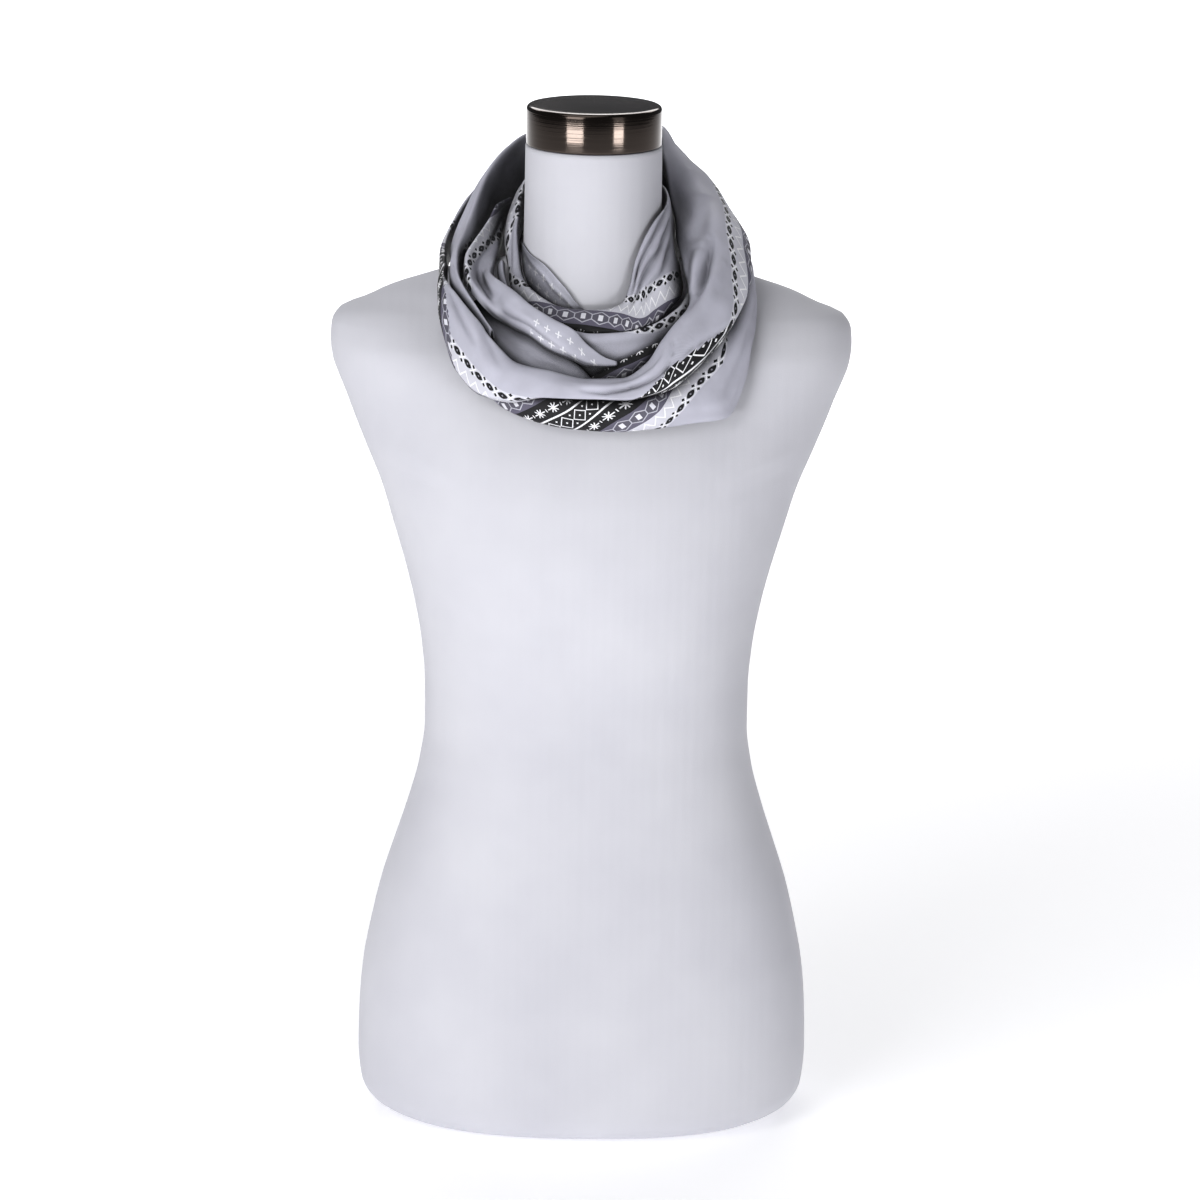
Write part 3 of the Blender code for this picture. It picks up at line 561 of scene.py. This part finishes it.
def lay_stretch(name, table, node, band_mark, band_sign,
                closed=False, creases=(), hem=None, tucks=()):
    """One stretch of the scarf as a sheet with its place on the flat cloth, riding on the root body.

    band_mark is the section's point that the table's border column is given at, and band_sign is +1
    where the border grows outward from it. hem is (the hem's point, +1 as the cloth runs outward
    from it, plain from this angle, crosses from this angle). Below a tuck's line the cloth is another
    part of the border, given the same way; its rows are (angle, point, border)."""
    at, band, section = fold_sections(table, closed)
    stations, steps = section.shape[:2]
    angle = np.radians(at)[:, None]
    radius, height = section[..., 0], section[..., 1]
    spot = np.stack([radius * np.sin(angle), -radius * np.cos(angle), height], axis=-1)
    gaps = np.linalg.norm(np.diff(section, axis=1), axis=2)
    across = np.concatenate([np.zeros((stations, 1)), gaps], axis=1).cumsum(axis=1)
    across -= across[:, [band_mark * STEPS_PER_SPAN]]
    guide = spot[:, band_mark * STEPS_PER_SPAN]
    step = np.linalg.norm(np.diff(guide, axis=0, append=guide[:1] if closed else guide[-1:]), axis=1)
    step[step == 0] = step[step > 0].mean()
    along = np.concatenate([[0], step.cumsum()[:-1]])

    ahead = np.roll(spot, -1, axis=0) - np.roll(spot, 1, axis=0) if closed else np.gradient(spot, axis=0)
    normal = np.cross(ahead, np.gradient(spot, axis=1))
    normal /= np.linalg.norm(normal, axis=2, keepdims=True) + 1e-9
    face = normal[:, 3 * STEPS_PER_SPAN]
    if (face[:, 0] * np.sin(angle[:, 0]) - face[:, 1] * np.cos(angle[:, 0])).mean() < 0:
        normal = -normal
    marked = []
    for lift, half_width, line in creases:
        places = []
        for turn, point in line:
            i, j = np.argmin(np.abs(at - turn)), round(point * STEPS_PER_SPAN)
            places.append((along[i], across[i, j]))
        marked.append((lift, half_width, places))
    lift = crease_height(along[:, None] + 0 * across, across, marked)
    ripple = np.sin(along[:, None] / 11 + 2 * np.sin(across / 13))
    lift += GENTLE_MM * ripple * np.sin(across / 5 + along[:, None] / 37)
    spot = spot + normal * lift[..., None]

    faces = grid_faces(stations + (1 if closed else 0), steps, closed=False)
    faces = [tuple(corner % (stations * steps) for corner in quad) for quad in faces]
    piece = add_piece(name, spot.reshape(-1, 3) / 1000, faces, satin)
    quads = np.array(faces)
    printed = print_place(step, across, band, band_sign)
    from_hem = np.full_like(across, NO_HEM)
    if hem:
        point, way, plain_from, crosses_from = hem
        printed[1][at >= plain_from] = -NO_HEM
        crossed = at >= crosses_from
        from_hem[crossed] = (way * (across - across[:, [int(point * STEPS_PER_SPAN)]]))[crossed]
    laid = np.stack([*printed, from_hem], axis=-1).reshape(-1, 3)[quads]
    for line in tucks:
        turns, points, borders = zip(*line)
        start = np.interp(at, turns, points, left=9, right=9) * STEPS_PER_SPAN
        below = (np.arange(steps)[None, :] > start[:, None]).reshape(-1)[quads].all(axis=1)
        tucked_band = smooth_between(turns, borders, np.clip(at, turns[0], turns[-1]))
        other = print_place(step, across, tucked_band, band_sign)
        laid[below] = np.stack([*other, from_hem], axis=-1).reshape(-1, 3)[quads][below]
    if closed:                                  # the closing quads carry on past the last station
        seam = (quads[:, :2] // steps == stations - 1).all(axis=1)
        laid[seam, 2:, 0] += step.sum()
    cloth_place = piece.data.attributes.new("cloth_mm", "FLOAT_VECTOR", "CORNER")
    cloth_place.data.foreach_set("vector", laid.reshape(-1))

    shell = piece.modifiers.new("cloth thickness", "SOLIDIFY")
    shell.thickness = CLOTH_MM / 1000
    shell.offset = 0
    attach(piece, "root")
    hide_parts(node)
    middle = spot[:, steps // 2]
    middle = np.concatenate([middle, middle[:1]]) if closed else middle
    return piece


HEM_TURN = [
    # angle, border from the beads, (radius, height) at inner edge, inner leg, crest, face, keel, under edge
    (-98, -120, (51.3, 667), (51.3, 665.6), (51.4, 664.2), (51.7, 662.8), (52, 662), (52.4, 661.4)),
    (-90, -120, (51.3, 662), (51.4, 660.9), (51.7, 659.8), (52.1, 659.5), (52.6, 659.4), (53.2, 659.3)),
    (-75, -120, (51.3, 660.5), (51.4, 659), (51.6, 657.5), (51.9, 656.2), (52.3, 655.1), (52.9, 654.1)),
    (-67, -120, (51.4, 658.4), (51.6, 655), (51.9, 651.6), (52.3, 648.4), (52.8, 645.4), (53.5, 642.8)),
    (-60, -120, (51.6, 656), (51.8, 651.5), (52.1, 647), (52.5, 643), (53, 639.4), (53.7, 636.4)),
    (-42, -120, (52.6, 651.5), (53.4, 646), (54.3, 640), (55.2, 634), (56, 627), (56.8, 621)),
    (-21, -120, (55, 637.5), (55.8, 633), (56.6, 628), (57.2, 623), (57.8, 617), (58.4, 611)),
    (-6, -120, (57.2, 622.5), (57.4, 620), (57.6, 617.5), (57.8, 615), (58.1, 612.5), (58.5, 610)),
    (10, -120, (57.2, 617), (57.4, 615.6), (57.6, 614.2), (57.9, 612.8), (58.2, 611.4), (58.7, 610)),
    (22, -120, (56.8, 614.5), (57, 613.6), (57.2, 612.7), (57.5, 611.8), (57.9, 610.9), (58.3, 610)),
]
HEM_TURN_CREASES = [
    # height, half width (mm), line of (angle, point)
    (0.5, 2, [(-80, 1), (-30, 1.6), (10, 2.4)]),
]
lay_stretch("scarf_hem_end", HEM_TURN, "scarf_hem_turn", band_mark=0, band_sign=1,
            creases=HEM_TURN_CREASES, hem=(0, 1, -98, -98))


# ---- Inner turn, at the neck ----
# The first whole turn round the neck, lying low in front. Its border's beads, hexagons and the
# black row show in front, and three soft pleats fall down its right side.

NECK_TURN = [
    # angle, border from the beads, (radius, height) at inner edge, inner leg, crest, face, keel, under edge
    (-180, -46, (53, 688), (53.2, 698), (55.4, 704), (58.6, 699), (59.6, 685), (58.4, 673)),
    (-150, -22, (52.4, 688), (52.6, 699), (54.7, 704.5), (58.2, 700), (59.6, 687), (59, 670)),
    (-120, 3, (52.2, 688), (52.4, 698), (54.4, 703.5), (58.4, 700), (62, 689), (61.5, 671)),
    (-103, 0, (52.2, 677), (52.2, 684), (54.1, 689.5), (58.8, 686), (63.5, 676), (62.6, 664)),
    (-94, -1, (53.2, 671), (53.2, 676), (54.3, 681), (59.3, 677), (63.4, 668), (62.2, 663)),
    (-84, -8, (53.9, 663), (53.9, 666.5), (55.6, 670.5), (59.7, 667), (63.3, 659.5), (62.4, 656)),
    (-72, -13, (54.8, 649), (54.8, 652), (56.8, 656), (61, 653), (63.8, 647), (62.6, 643.5)),
    (-61, -8, (56.5, 634), (56.7, 638), (58.8, 642), (63, 640.5), (66.6, 635), (65.5, 630.5)),
    (-44, 1, (59, 622), (59.3, 628), (61.8, 633.5), (66.3, 633), (70.8, 627), (69.8, 620.5)),
    (-33, 8, (60, 617), (60.3, 622.5), (62.8, 628), (68, 627.5), (74, 621.5), (72.8, 615)),
    (-21, 12.5, (60.6, 611.5), (60.8, 617), (63.2, 623.3), (69, 622.5), (76, 615.5), (74.5, 608.5)),
    (-8, 12.3, (60.8, 609), (61, 615.5), (63.4, 622.3), (70, 621), (77.5, 612), (75.5, 604.5)),
    (8, 9.3, (60.8, 609), (61, 616), (63.4, 623), (70.5, 621), (79, 611), (76.5, 603.5)),
    (20, 2.6, (60.4, 611), (60.5, 619), (62.8, 626.8), (71, 624), (81.5, 612.5), (78.5, 604.5)),
    (27, -9, (57.8, 622), (57.7, 629), (59.6, 637), (69, 631), (83.5, 616), (79.7, 608)),
    (34, -22, (55.4, 640), (54.8, 648), (56.4, 656), (67.5, 640), (84, 620.5), (80.2, 612.5)),
    (45, -32, (54, 656), (53.6, 665), (55.3, 672), (66, 652), (82.4, 630), (78, 623)),
    (59, -40, (53, 668), (52.9, 677), (54.6, 683), (61.5, 663), (75.2, 637), (73.4, 631)),
    (84, -50, (52.3, 678), (52.3, 686), (54, 691.5), (56.6, 682), (58, 667), (56.5, 659.5)),
    (110, -54, (52.2, 685), (52.2, 694), (54, 699), (56.9, 692), (58, 682), (56.9, 671)),
    (150, -50, (52.4, 690), (52.6, 700), (54.6, 705), (58.2, 700), (59.6, 688), (58.4, 675)),
]
NECK_TURN_CREASES = [
    # height, half width (mm), line of (angle, point)
    (-3, 2.4, [(82, 2.35), (50, 2.38), (24, 2.45)]),
    (1.4, 2, [(80, 2.55), (50, 2.6), (26, 2.65)]),
    (-3, 2.5, [(76, 2.8), (48, 2.85), (20, 2.95)]),
    (1.4, 2.2, [(72, 3), (46, 3.05), (24, 3.15)]),
    (-2.2, 2.4, [(68, 3.25), (44, 3.3), (24, 3.45)]),
    (-1.3, 4, [(-150, 2.6), (-120, 2.9), (-100, 3.2)]),
    (-1.2, 2.5, [(-98, 2.6), (-80, 2.9), (-66, 3.4)]),
]
lay_stretch("scarf_neck_turn_cloth", NECK_TURN, "scarf_neck_turn", band_mark=2, band_sign=1, closed=True,
            creases=NECK_TURN_CREASES)


# ---- Middle turn, in front ----
# The next turn's upper part, which rides over the first from the left, with the beads running
# along its crest and hexagons turned under.

MIDDLE_TURN = [
    # angle, border from the beads, (radius, height) at inner edge, inner leg, crest, face, keel, under edge
    (-73, -6, (66.4, 645.5), (66.4, 647.5), (68.1, 650), (70.2, 647.8), (70.8, 645), (70, 643)),
    (-62, -6, (70, 635), (70, 638), (71.8, 641), (74, 638.5), (74.8, 634), (74, 631)),
    (-50, -6, (74, 621.6), (74, 626.5), (75.8, 630), (77.8, 627.5), (78.4, 622.1), (77.6, 618.6)),
    (-40, -6, (75.6, 612.3), (75.8, 619.2), (77.7, 623.7), (79.6, 620.7), (79.9, 613.3), (79, 608.3)),
    (-20, -6, (78, 600.8), (78, 610), (79.9, 615), (82.4, 612), (83.3, 601.8), (82.4, 593.8)),
    (0, -6, (79.3, 588.9), (79.3, 601.2), (81.8, 609.2), (86.5, 604.2), (89, 589.9), (88, 576.9)),
    (15, -3, (81.2, 590.8), (81.2, 601.5), (83.3, 610), (87.8, 605), (90.3, 591.8), (89.3, 579.3)),
    (30, 3, (84.2, 595.9), (84.2, 607.5), (86.5, 615), (90.5, 610.5), (92.8, 598.9), (91.8, 587.9)),
    (45, 5, (84.6, 613), (84.8, 618.5), (87.4, 624.3), (91.6, 621), (94.2, 613.5), (93.2, 607)),
    (53, 6, (82, 620), (82.2, 624.5), (84.6, 629.3), (89, 627.3), (92, 621), (91, 615.5)),
    (62, 8, (78.8, 628), (79, 632.5), (81, 637), (85.4, 635.3), (88.6, 630), (87.6, 625.5)),
    (85, 10, (64.2, 659), (64.2, 662.5), (66, 666.5), (69, 665), (71, 660.5), (70.3, 657)),
    (105, 10, (62.8, 662), (62.8, 668), (64.6, 672), (67, 669.5), (68, 664), (67.2, 659)),
]
MIDDLE_TURN_CREASES = [
    # height, half width (mm), line of (angle, point)
    (-0.9, 3, [(-70, 2.4), (-40, 2.7), (-10, 3)]),
    (-0.9, 4, [(-30, 3.2), (0, 3.3), (30, 3.4)]),
]
lay_stretch("scarf_middle_turn_cloth", MIDDLE_TURN, "scarf_middle_turn", band_mark=2, band_sign=-1,
            creases=MIDDLE_TURN_CREASES)


# ---- Inside of the outer turn ----
# Cloth standing inside the deep front of the outer turn, its hexagon row just showing over the
# turn's rolled edge.

INNER_TURN = [
    # angle, border from the beads, (radius, height) at inner edge, inner leg, crest, face, keel, under edge
    (-13, 32, (92.3, 562), (92.3, 568), (94.1, 572.5), (96.1, 569), (96.9, 562), (96, 556)),
    (0, 32, (92.2, 565), (92.2, 574), (94.1, 579.3), (96.6, 575), (97.9, 566), (97.1, 558)),
    (10, 33, (92.8, 572), (92.8, 584), (95.3, 590), (98.8, 584), (100, 572), (99.2, 562)),
    (18, 34, (93.4, 578), (93.4, 590), (96, 596.5), (99.6, 590), (100.6, 577), (99.8, 566)),
    (28, 34, (95.4, 584), (95.4, 597), (97.8, 603.5), (100.4, 598), (101.1, 585), (100.3, 574)),
    (45, 33, (97, 598), (97.1, 603.5), (98.8, 608), (101, 605.5), (101.8, 599), (101, 594)),
    (62, 33, (93.8, 620), (94, 624), (95.8, 628), (98.2, 626), (99.3, 621.5), (98.6, 619)),
    (75, 33, (91.8, 636), (92, 639), (93.8, 642.5), (96.2, 640.5), (97.2, 637), (96.6, 635)),
]
INNER_TURN_CREASES = [
    # height, half width (mm), line of (angle, point)
    (-0.8, 3, [(5, 2.4), (30, 2.6), (60, 2.8)]),
]
lay_stretch("scarf_inner_turn_cloth", INNER_TURN, "scarf_inner_turn", band_mark=2, band_sign=-1,
            creases=INNER_TURN_CREASES)


# ---- Left fold, the hem turned over ----
# The slack cloth folded over from the left, which narrows to a lap that crosses the front with
# the hem and its crosses along the lap's lower edge.

LEFT_FOLD = [
    # angle, border from the beads, (radius, height) at inner edge, inner leg, crest, face, keel, under edge
    (-120, 18, (66, 672), (66, 677), (67, 682), (69, 685.5), (71.2, 685), (72, 679)),
    (-103, 18, (66.4, 664), (66.3, 669), (67.4, 675), (69.2, 680.5), (71.8, 683.5), (73.6, 677)),
    (-94, 15, (66.5, 657.5), (66.6, 662), (68.5, 667), (71.2, 673.5), (74, 677.5), (76.2, 670.5)),
    (-86, 11, (67.6, 654), (68.2, 657.5), (71.2, 661.5), (75, 667.5), (78.8, 671.5), (81.2, 664.5)),
    (-78, 8, (71, 650), (72.4, 652.5), (76.8, 655), (82.2, 660), (86.6, 664), (89.2, 657)),
    (-70, 4, (75.5, 643.5), (77, 648), (83, 647.5), (89.5, 649.5), (96, 654.5), (98.4, 647)),
    (-62, -2.5, (79.8, 637), (82.2, 643.5), (86.2, 641.5), (91, 637.5), (99.8, 643), (102, 636.5)),
    (-54, -7, (80.2, 633), (82.2, 640.5), (87, 638), (92, 631.5), (98.4, 633), (101, 628)),
    (-47, 6, (80.6, 629), (82.4, 637.5), (88, 635), (93, 626.5), (96, 622), (95.5, 617.5)),
    (-40, 0, (81.8, 625), (83.3, 634), (89, 632), (94, 623), (93.6, 615.5), (91, 611.5)),
    (-29, 0, (83.6, 617), (85.3, 626.3), (90, 624), (94.6, 616.5), (94, 610), (91.3, 607)),
    (-18, 0, (85.2, 611.2), (86.4, 619), (91, 616), (95.6, 607), (95, 601), (92.6, 598)),
    (-8, 0, (87.6, 604.5), (88.4, 613), (92.6, 608), (97, 599), (96.3, 595), (94.2, 592.6)),
    (-1, 0, (91.4, 597.4), (92, 602.5), (94.8, 599), (98, 593.4), (97.6, 590.6), (96.2, 588.8)),
    (5, 0, (94.6, 593), (95.4, 596), (96.6, 594.8), (98.6, 591.8), (98.6, 590), (97.6, 589)),
    (11, 0, (97.4, 591.6), (97.9, 592.2), (98.4, 592), (99, 591.2), (99.2, 590.6), (99, 590)),
]
LEFT_FOLD_CREASES = [
    # height, half width (mm), line of (angle, point)
    (-1.6, 3, [(-104, 1.8), (-80, 2.2), (-60, 2.6)]),
    (-2, 3, [(-68, 2.2), (-60, 2.7), (-50, 3.2)]),
    (1, 3, [(-60, 3.2), (-52, 3.5), (-44, 3.8)]),
    (0.9, 3, [(-46, 2.4), (-30, 2.5), (-12, 2.6)]),
    (-1.2, 2.5, [(-44, 3.3), (-28, 3.2), (-10, 3.3)]),
]
lay_stretch("scarf_left_fold_cloth", LEFT_FOLD, "scarf_left_fold", band_mark=4, band_sign=1,
            creases=LEFT_FOLD_CREASES,
            hem=(1.3, 1, -57, -27))


# ---- Cloth in the left hollow ----
# The back of the folded cloth, plain, in the shadow of the hollow under the lap. It narrows to
# a point where it goes under the outer turn.

UNDER_FOLD = [
    # angle, border from the beads, (radius, height) at inner edge, inner leg, crest, face, keel, under edge
    (-60, -20, (90, 628), (94, 626.5), (97.5, 624.5), (100, 621.5), (101.4, 618), (101.8, 614.5)),
    (-52, -20, (87, 622.5), (91.5, 619.5), (96.5, 616), (100.5, 611), (102.8, 605.5), (103.6, 601)),
    (-40, -20, (86, 614), (88.6, 609), (96, 603.5), (101, 596), (103.3, 587), (103.6, 580)),
    (-28, -20, (87, 607.5), (90, 601.8), (96.3, 596), (100.4, 588), (102, 579), (102.2, 572)),
    (-15, -20, (88.6, 596.5), (91.2, 592.5), (95.8, 588), (99.6, 580.5), (101.2, 571.5), (101.4, 564.5)),
    (-5, -20, (91.8, 587.4), (93.8, 586), (96.8, 582.6), (100, 575.8), (101.3, 568), (101.5, 562)),
    (3, -20, (95.5, 575), (96.4, 574.5), (97.6, 573.5), (99.2, 571), (100.6, 568.5), (101.6, 566)),
]
UNDER_FOLD_CREASES = [
    # height, half width (mm), line of (angle, point)
    (-1.4, 4, [(-56, 1.5), (-34, 2), (-10, 2.5)]),
]
lay_stretch("scarf_hollow_cloth", UNDER_FOLD, "scarf_under_fold", band_mark=0, band_sign=-1,
            creases=UNDER_FOLD_CREASES)


# ---- Left fall, from the back of the neck ----
# The outer turn's first layer, which comes round from the back and down the left side, open like
# a pocket, with a soft rolled rim.

LEFT_FALL = [
    # angle, border from the beads, (radius, height) at inner edge, inner leg, crest, face, keel, under edge
    (-250, -60, (68.5, 643), (69.5, 657), (70.5, 676), (72.5, 672), (73.5, 660), (73, 645)),
    (-235, -60, (69, 640), (70.5, 662), (72.5, 682), (75, 677), (76.5, 664), (75.5, 643)),
    (-220, -60, (72.3, 660), (74, 680), (76.5, 686), (79.8, 682.5), (81, 675), (80.5, 662)),
    (-205, -60, (74, 676), (77, 691), (80.6, 702), (84, 697.5), (85.8, 686), (84.6, 675)),
    (-180, -55, (75.5, 668), (79, 703), (85.5, 722), (91.2, 711), (94.8, 690), (93.2, 673)),
    (-150, -45, (74.5, 655), (78.5, 706), (86, 728.5), (94, 716), (99.6, 690), (97.4, 671)),
    (-130, -50, (75, 640), (76, 676), (81, 718.5), (90, 708), (97.6, 686), (95.8, 669)),
    (-108, -34, (75.6, 638), (77, 664), (82.6, 699), (91, 690), (98.6, 672), (96.8, 662)),
    (-91, -18, (79.2, 653), (83, 667), (88.6, 679), (95.6, 671), (102.4, 656), (100.8, 650.5)),
    (-82, -10, (86.6, 655), (89.6, 662), (94, 669), (99.4, 661.5), (103.2, 650.5), (102, 646)),
    (-73, -8, (97.6, 640), (99.4, 649), (102.4, 657.3), (105.8, 650.5), (106.8, 642), (105.6, 637)),
    (-62, -8, (104, 626), (104.6, 634.5), (107.4, 641.8), (110, 636.5), (110.8, 628.5), (110, 622)),
    (-51, -8, (104.4, 612), (104.6, 620), (107.2, 626.5), (109.3, 622), (109.8, 614.5), (109, 609.5)),
    (-41, -8, (105.4, 601), (105.4, 606.5), (107.1, 611), (109, 607.5), (109.3, 601.5), (108.4, 597.5)),
]
LEFT_FALL_CREASES = [
    # height, half width (mm), line of (angle, point)
    (-1.6, 6, [(-200, 3), (-160, 3.1), (-120, 3.2)]),
    (1.3, 6, [(-150, 3.3), (-120, 3.1), (-95, 2.9)]),
    (-0.8, 3, [(-110, 2.5), (-85, 2.5), (-60, 2.6)]),
]
lay_stretch("scarf_left_fall_cloth", LEFT_FALL, "scarf_left_fall", band_mark=2, band_sign=-1,
            creases=LEFT_FALL_CREASES)


# ---- Under the outer turn ----
# The border turned under the front of the outer turn: its rows run slanting from the left stars,
# through the diamonds, to the beads and the plain cloth on the right.

OUTER_UNDER = [
    # angle, border from the beads, (radius, height) at inner edge, inner leg, crest, face, keel, under edge
    (-45, 96, (115.6, 589), (116.8, 594), (119.4, 596.5), (122.4, 593), (122.4, 587), (120, 583.5)),
    (-33, 81, (111.5, 574.5), (113, 580.5), (116.4, 582.5), (120.2, 575.5), (118.2, 561.5), (113, 558)),
    (-27, 72, (109.2, 568.5), (110.5, 574.5), (113.6, 576), (117, 568), (114.6, 555), (108.8, 553)),
    (-18, 59, (107, 561.5), (108.2, 568), (110.8, 570.4), (114.6, 563), (110.8, 550), (104.2, 549)),
    (-4, 40.5, (106.6, 557), (107.4, 564), (110.6, 568.4), (115.4, 561.5), (108.9, 546.3), (102.2, 547)),
    (9, 21, (106.8, 556), (107.6, 563.5), (111, 568), (116.4, 560.5), (109.9, 545.3), (103.2, 546)),
    (24, 1.5, (107.6, 559), (109, 567.5), (114, 573), (122, 561), (117.2, 547), (110.2, 548)),
    (36, -20, (109.6, 569), (111.5, 581), (116.6, 589.6), (127.6, 571), (127.6, 552), (120.2, 551)),
    (46, -36, (112.2, 582), (113.8, 596), (119, 605), (131.5, 586), (138, 556.5), (131, 552.5)),
    (54, -46, (114.4, 595), (115.8, 607), (120, 615), (130.5, 603), (136.6, 578.5), (131, 573)),
    (60, -52, (114.4, 606.5), (116, 616), (119.4, 622.4), (127.8, 615), (132.6, 598.6), (129.4, 595.6)),
    (66, -56, (113.4, 619.4), (115, 626), (117.8, 630.4), (124.2, 624.6), (128.6, 610.2), (126.4, 607)),
    (72, -60, (113, 629.6), (114.4, 634), (117, 637.6), (121.8, 632.6), (124.6, 622.6), (122.6, 620)),
    (83, -62, (111.6, 642.2), (112.6, 645), (114.5, 647.4), (117, 645), (117.8, 640.4), (116.2, 639)),
    (92, -62, (110.8, 645), (111.4, 647.3), (113.2, 649.4), (115.4, 647.2), (115.9, 643.8), (114.8, 642.6)),
]
OUTER_UNDER_CREASES = [
    # height, half width (mm), line of (angle, point)
    (-1.6, 5, [(40, 3.2), (55, 3.4), (70, 3.6)]),
    (-1, 4, [(20, 3.2), (36, 3.6), (52, 3.9)]),
]
lay_stretch("scarf_outer_under_cloth", OUTER_UNDER, "scarf_outer_under", band_mark=4, band_sign=-1,
            creases=OUTER_UNDER_CREASES)


# ---- Outer turn ----
# The second whole turn, lying widest round the shoulders: a deep rolled rim in front, and the
# border's beads down both sides. It is the cloth's outside face.

OUTER_TURN = [
    # angle, border from the beads, (radius, height) at inner edge, inner leg, crest, face, keel, under edge
    (-180, -42, (98.6, 690), (97.8, 704), (99.4, 718), (108.6, 712), (116, 686), (113, 667)),
    (-150, -30, (103, 677), (103.8, 694), (106.6, 705), (112, 697), (114.6, 677), (111.4, 663)),
    (-130, -14, (100.8, 674), (101.6, 685), (104.2, 693), (108.6, 687), (110.6, 671), (108.2, 659)),
    (-110, -6, (101.6, 644), (102.2, 668), (104.4, 674.5), (107.6, 669.5), (108.4, 658.5), (106.8, 652)),
    (-90, 14, (104.4, 643.8), (105.2, 652.5), (107.2, 657.5), (109.8, 654.3), (110.2, 648), (108.8, 644)),
    (-78, 36, (107, 634), (107.5, 644), (109.3, 648.6), (111.6, 645.3), (112.2, 638.8), (110.6, 635)),
    (-68, 26, (110.6, 627), (112, 633.6), (114.2, 640.8), (118, 637), (118.8, 627.5), (116, 622.5)),
    (-60, -20, (112.8, 619), (113.3, 628), (115.6, 636), (121.6, 629.5), (124.6, 615.5), (121.2, 609.5)),
    (-53, -26, (112.4, 610), (112.9, 620), (115.6, 628.5), (124, 620.5), (129, 600.5), (124.8, 593.5)),
    (-46, -28, (112.1, 602), (112.6, 612), (115.8, 619.8), (126, 610), (133, 587.5), (128.2, 579.5)),
    (-38, -29, (110.2, 586), (111.5, 597), (115.4, 606.4), (125, 597.5), (131.4, 574.5), (126.2, 567.5)),
    (-28, -29, (105.8, 572), (107.2, 583), (112, 591), (121, 586.3), (126.4, 569.5), (121.2, 564.5)),
    (-15, -28, (104, 570), (104.4, 579), (108.2, 586.5), (116, 584), (120, 572), (115, 569.6)),
    (0, -27, (104.2, 566), (104.3, 574), (107.3, 581.6), (115, 580), (119.4, 571), (114.6, 569.4)),
    (12, -27, (104.5, 566), (104.6, 574), (107.5, 581.6), (115.5, 580), (121, 571.2), (116.2, 568.6)),
    (22, -30, (104.7, 576), (104.8, 585), (107.7, 592.6), (116.5, 589), (125, 577.2), (120.2, 571.8)),
    (28, -40, (104.6, 590), (104.7, 600), (107.3, 607.6), (117, 603), (129, 585.2), (124.2, 577)),
    (36, -44, (103.4, 605), (103.4, 613), (105.7, 620.6), (117, 617), (131, 597.6), (126.4, 589)),
    (46, -42, (96.9, 619.6), (96.9, 624), (99.2, 629.6), (115, 629), (131, 616), (127.4, 605.5)),
    (54, -43, (87.2, 633), (86.9, 636), (89, 640.6), (106, 643), (128, 627.5), (125, 617)),
    (62, -42.5, (76.6, 644), (75.6, 646), (77.4, 650.2), (97, 655.5), (124, 637.5), (121.6, 628.5)),
    (85, -41.5, (62.2, 662.5), (61.5, 666), (63.1, 670.4), (86, 682.5), (113, 661), (111.6, 652.8)),
    (109, -41, (61.4, 680), (61, 684.4), (62.6, 689), (84, 698), (110.4, 673), (108.8, 659.5)),
    (132, -45, (69.4, 702), (68.4, 709), (70.4, 716.8), (88, 717), (111.4, 691), (108.4, 668)),
    (150, -45, (86.2, 706), (86.6, 720), (89.2, 733), (101, 729.5), (114.6, 696), (110.6, 669)),
    (165, -44, (91.2, 700), (91.6, 714), (94.2, 727.5), (105, 722.5), (116, 691), (112.2, 668)),
]
OUTER_TURN_CREASES = [
    # height, half width (mm), line of (angle, point)
    (-2.6, 1.5, [(-4, 3.42), (5.5, 3.62), (14.5, 3.33), (22.4, 3.42),
                 (26.4, 3.5), (29.4, 3.25), (31.4, 2.58)]),
    (2.2, 1.9, [(-4, 3.15), (5.5, 3.3), (14.5, 3.08), (22, 3.1), (26, 3.1), (28, 2.8), (29, 2.3)]),
    (-2.2, 1.4, [(24, 3.5), (34.4, 3.58), (41.4, 3.75), (50, 4.17)]),
    (-6.5, 3.8, [(74, 3), (61.3, 2.83), (49.4, 2.25)]),
    (3.2, 4.5, [(68, 2.5), (58, 2.35), (50, 1.95)]),
    (2.8, 5, [(66, 3.4), (54, 3), (44, 2.6), (36, 2.5)]),
    (-2.6, 3, [(-62, 2.3), (-52, 2.6), (-40, 2.9)]),
    (1.5, 5, [(-46, 2.2), (-40, 2.8), (-34, 3.5)]),
    (-1.3, 4, [(-42, 2.1), (-36, 2.4), (-30, 3.1)]),
    (-0.8, 4, [(-26, 2.7), (-12, 2.9), (0, 2.8)]),
    (0.8, 5, [(-20, 3.4), (-6, 3.4), (6, 3)]),
    (-3, 7, [(72, 2.6), (86, 2.8), (102, 3)]),
    (-2, 7, [(120, 3), (145, 3.1), (170, 3.2)]),
    (-1.6, 7, [(-175, 3), (-150, 3.1), (-120, 3.3)]),
    (1.5, 6, [(96, 3.4), (118, 3.6), (140, 3.5)]),
]
OUTER_TURN_TUCKS = [
    # angle, point that the folded edge lies at, border from the beads
    [(-86, 1.9, 34), (-80, 1.6, 44), (-72, 1.9, 38), (-64, 2.4, 25), (-56, 3.0, 9), (-50, 3.5, -3),
     (-45, 4.2, -12)],
    [(14, 4.3, 36), (22, 3.6, 30), (26, 3.5, 26), (34, 3.58, 20), (41, 3.75, 18), (50, 4.17, 18),
     (58, 4.6, 18)],
]
lay_stretch("scarf_outer_turn_cloth", OUTER_TURN, "scarf_outer_turn", band_mark=2, band_sign=1, closed=True,
            creases=OUTER_TURN_CREASES, tucks=OUTER_TURN_TUCKS)
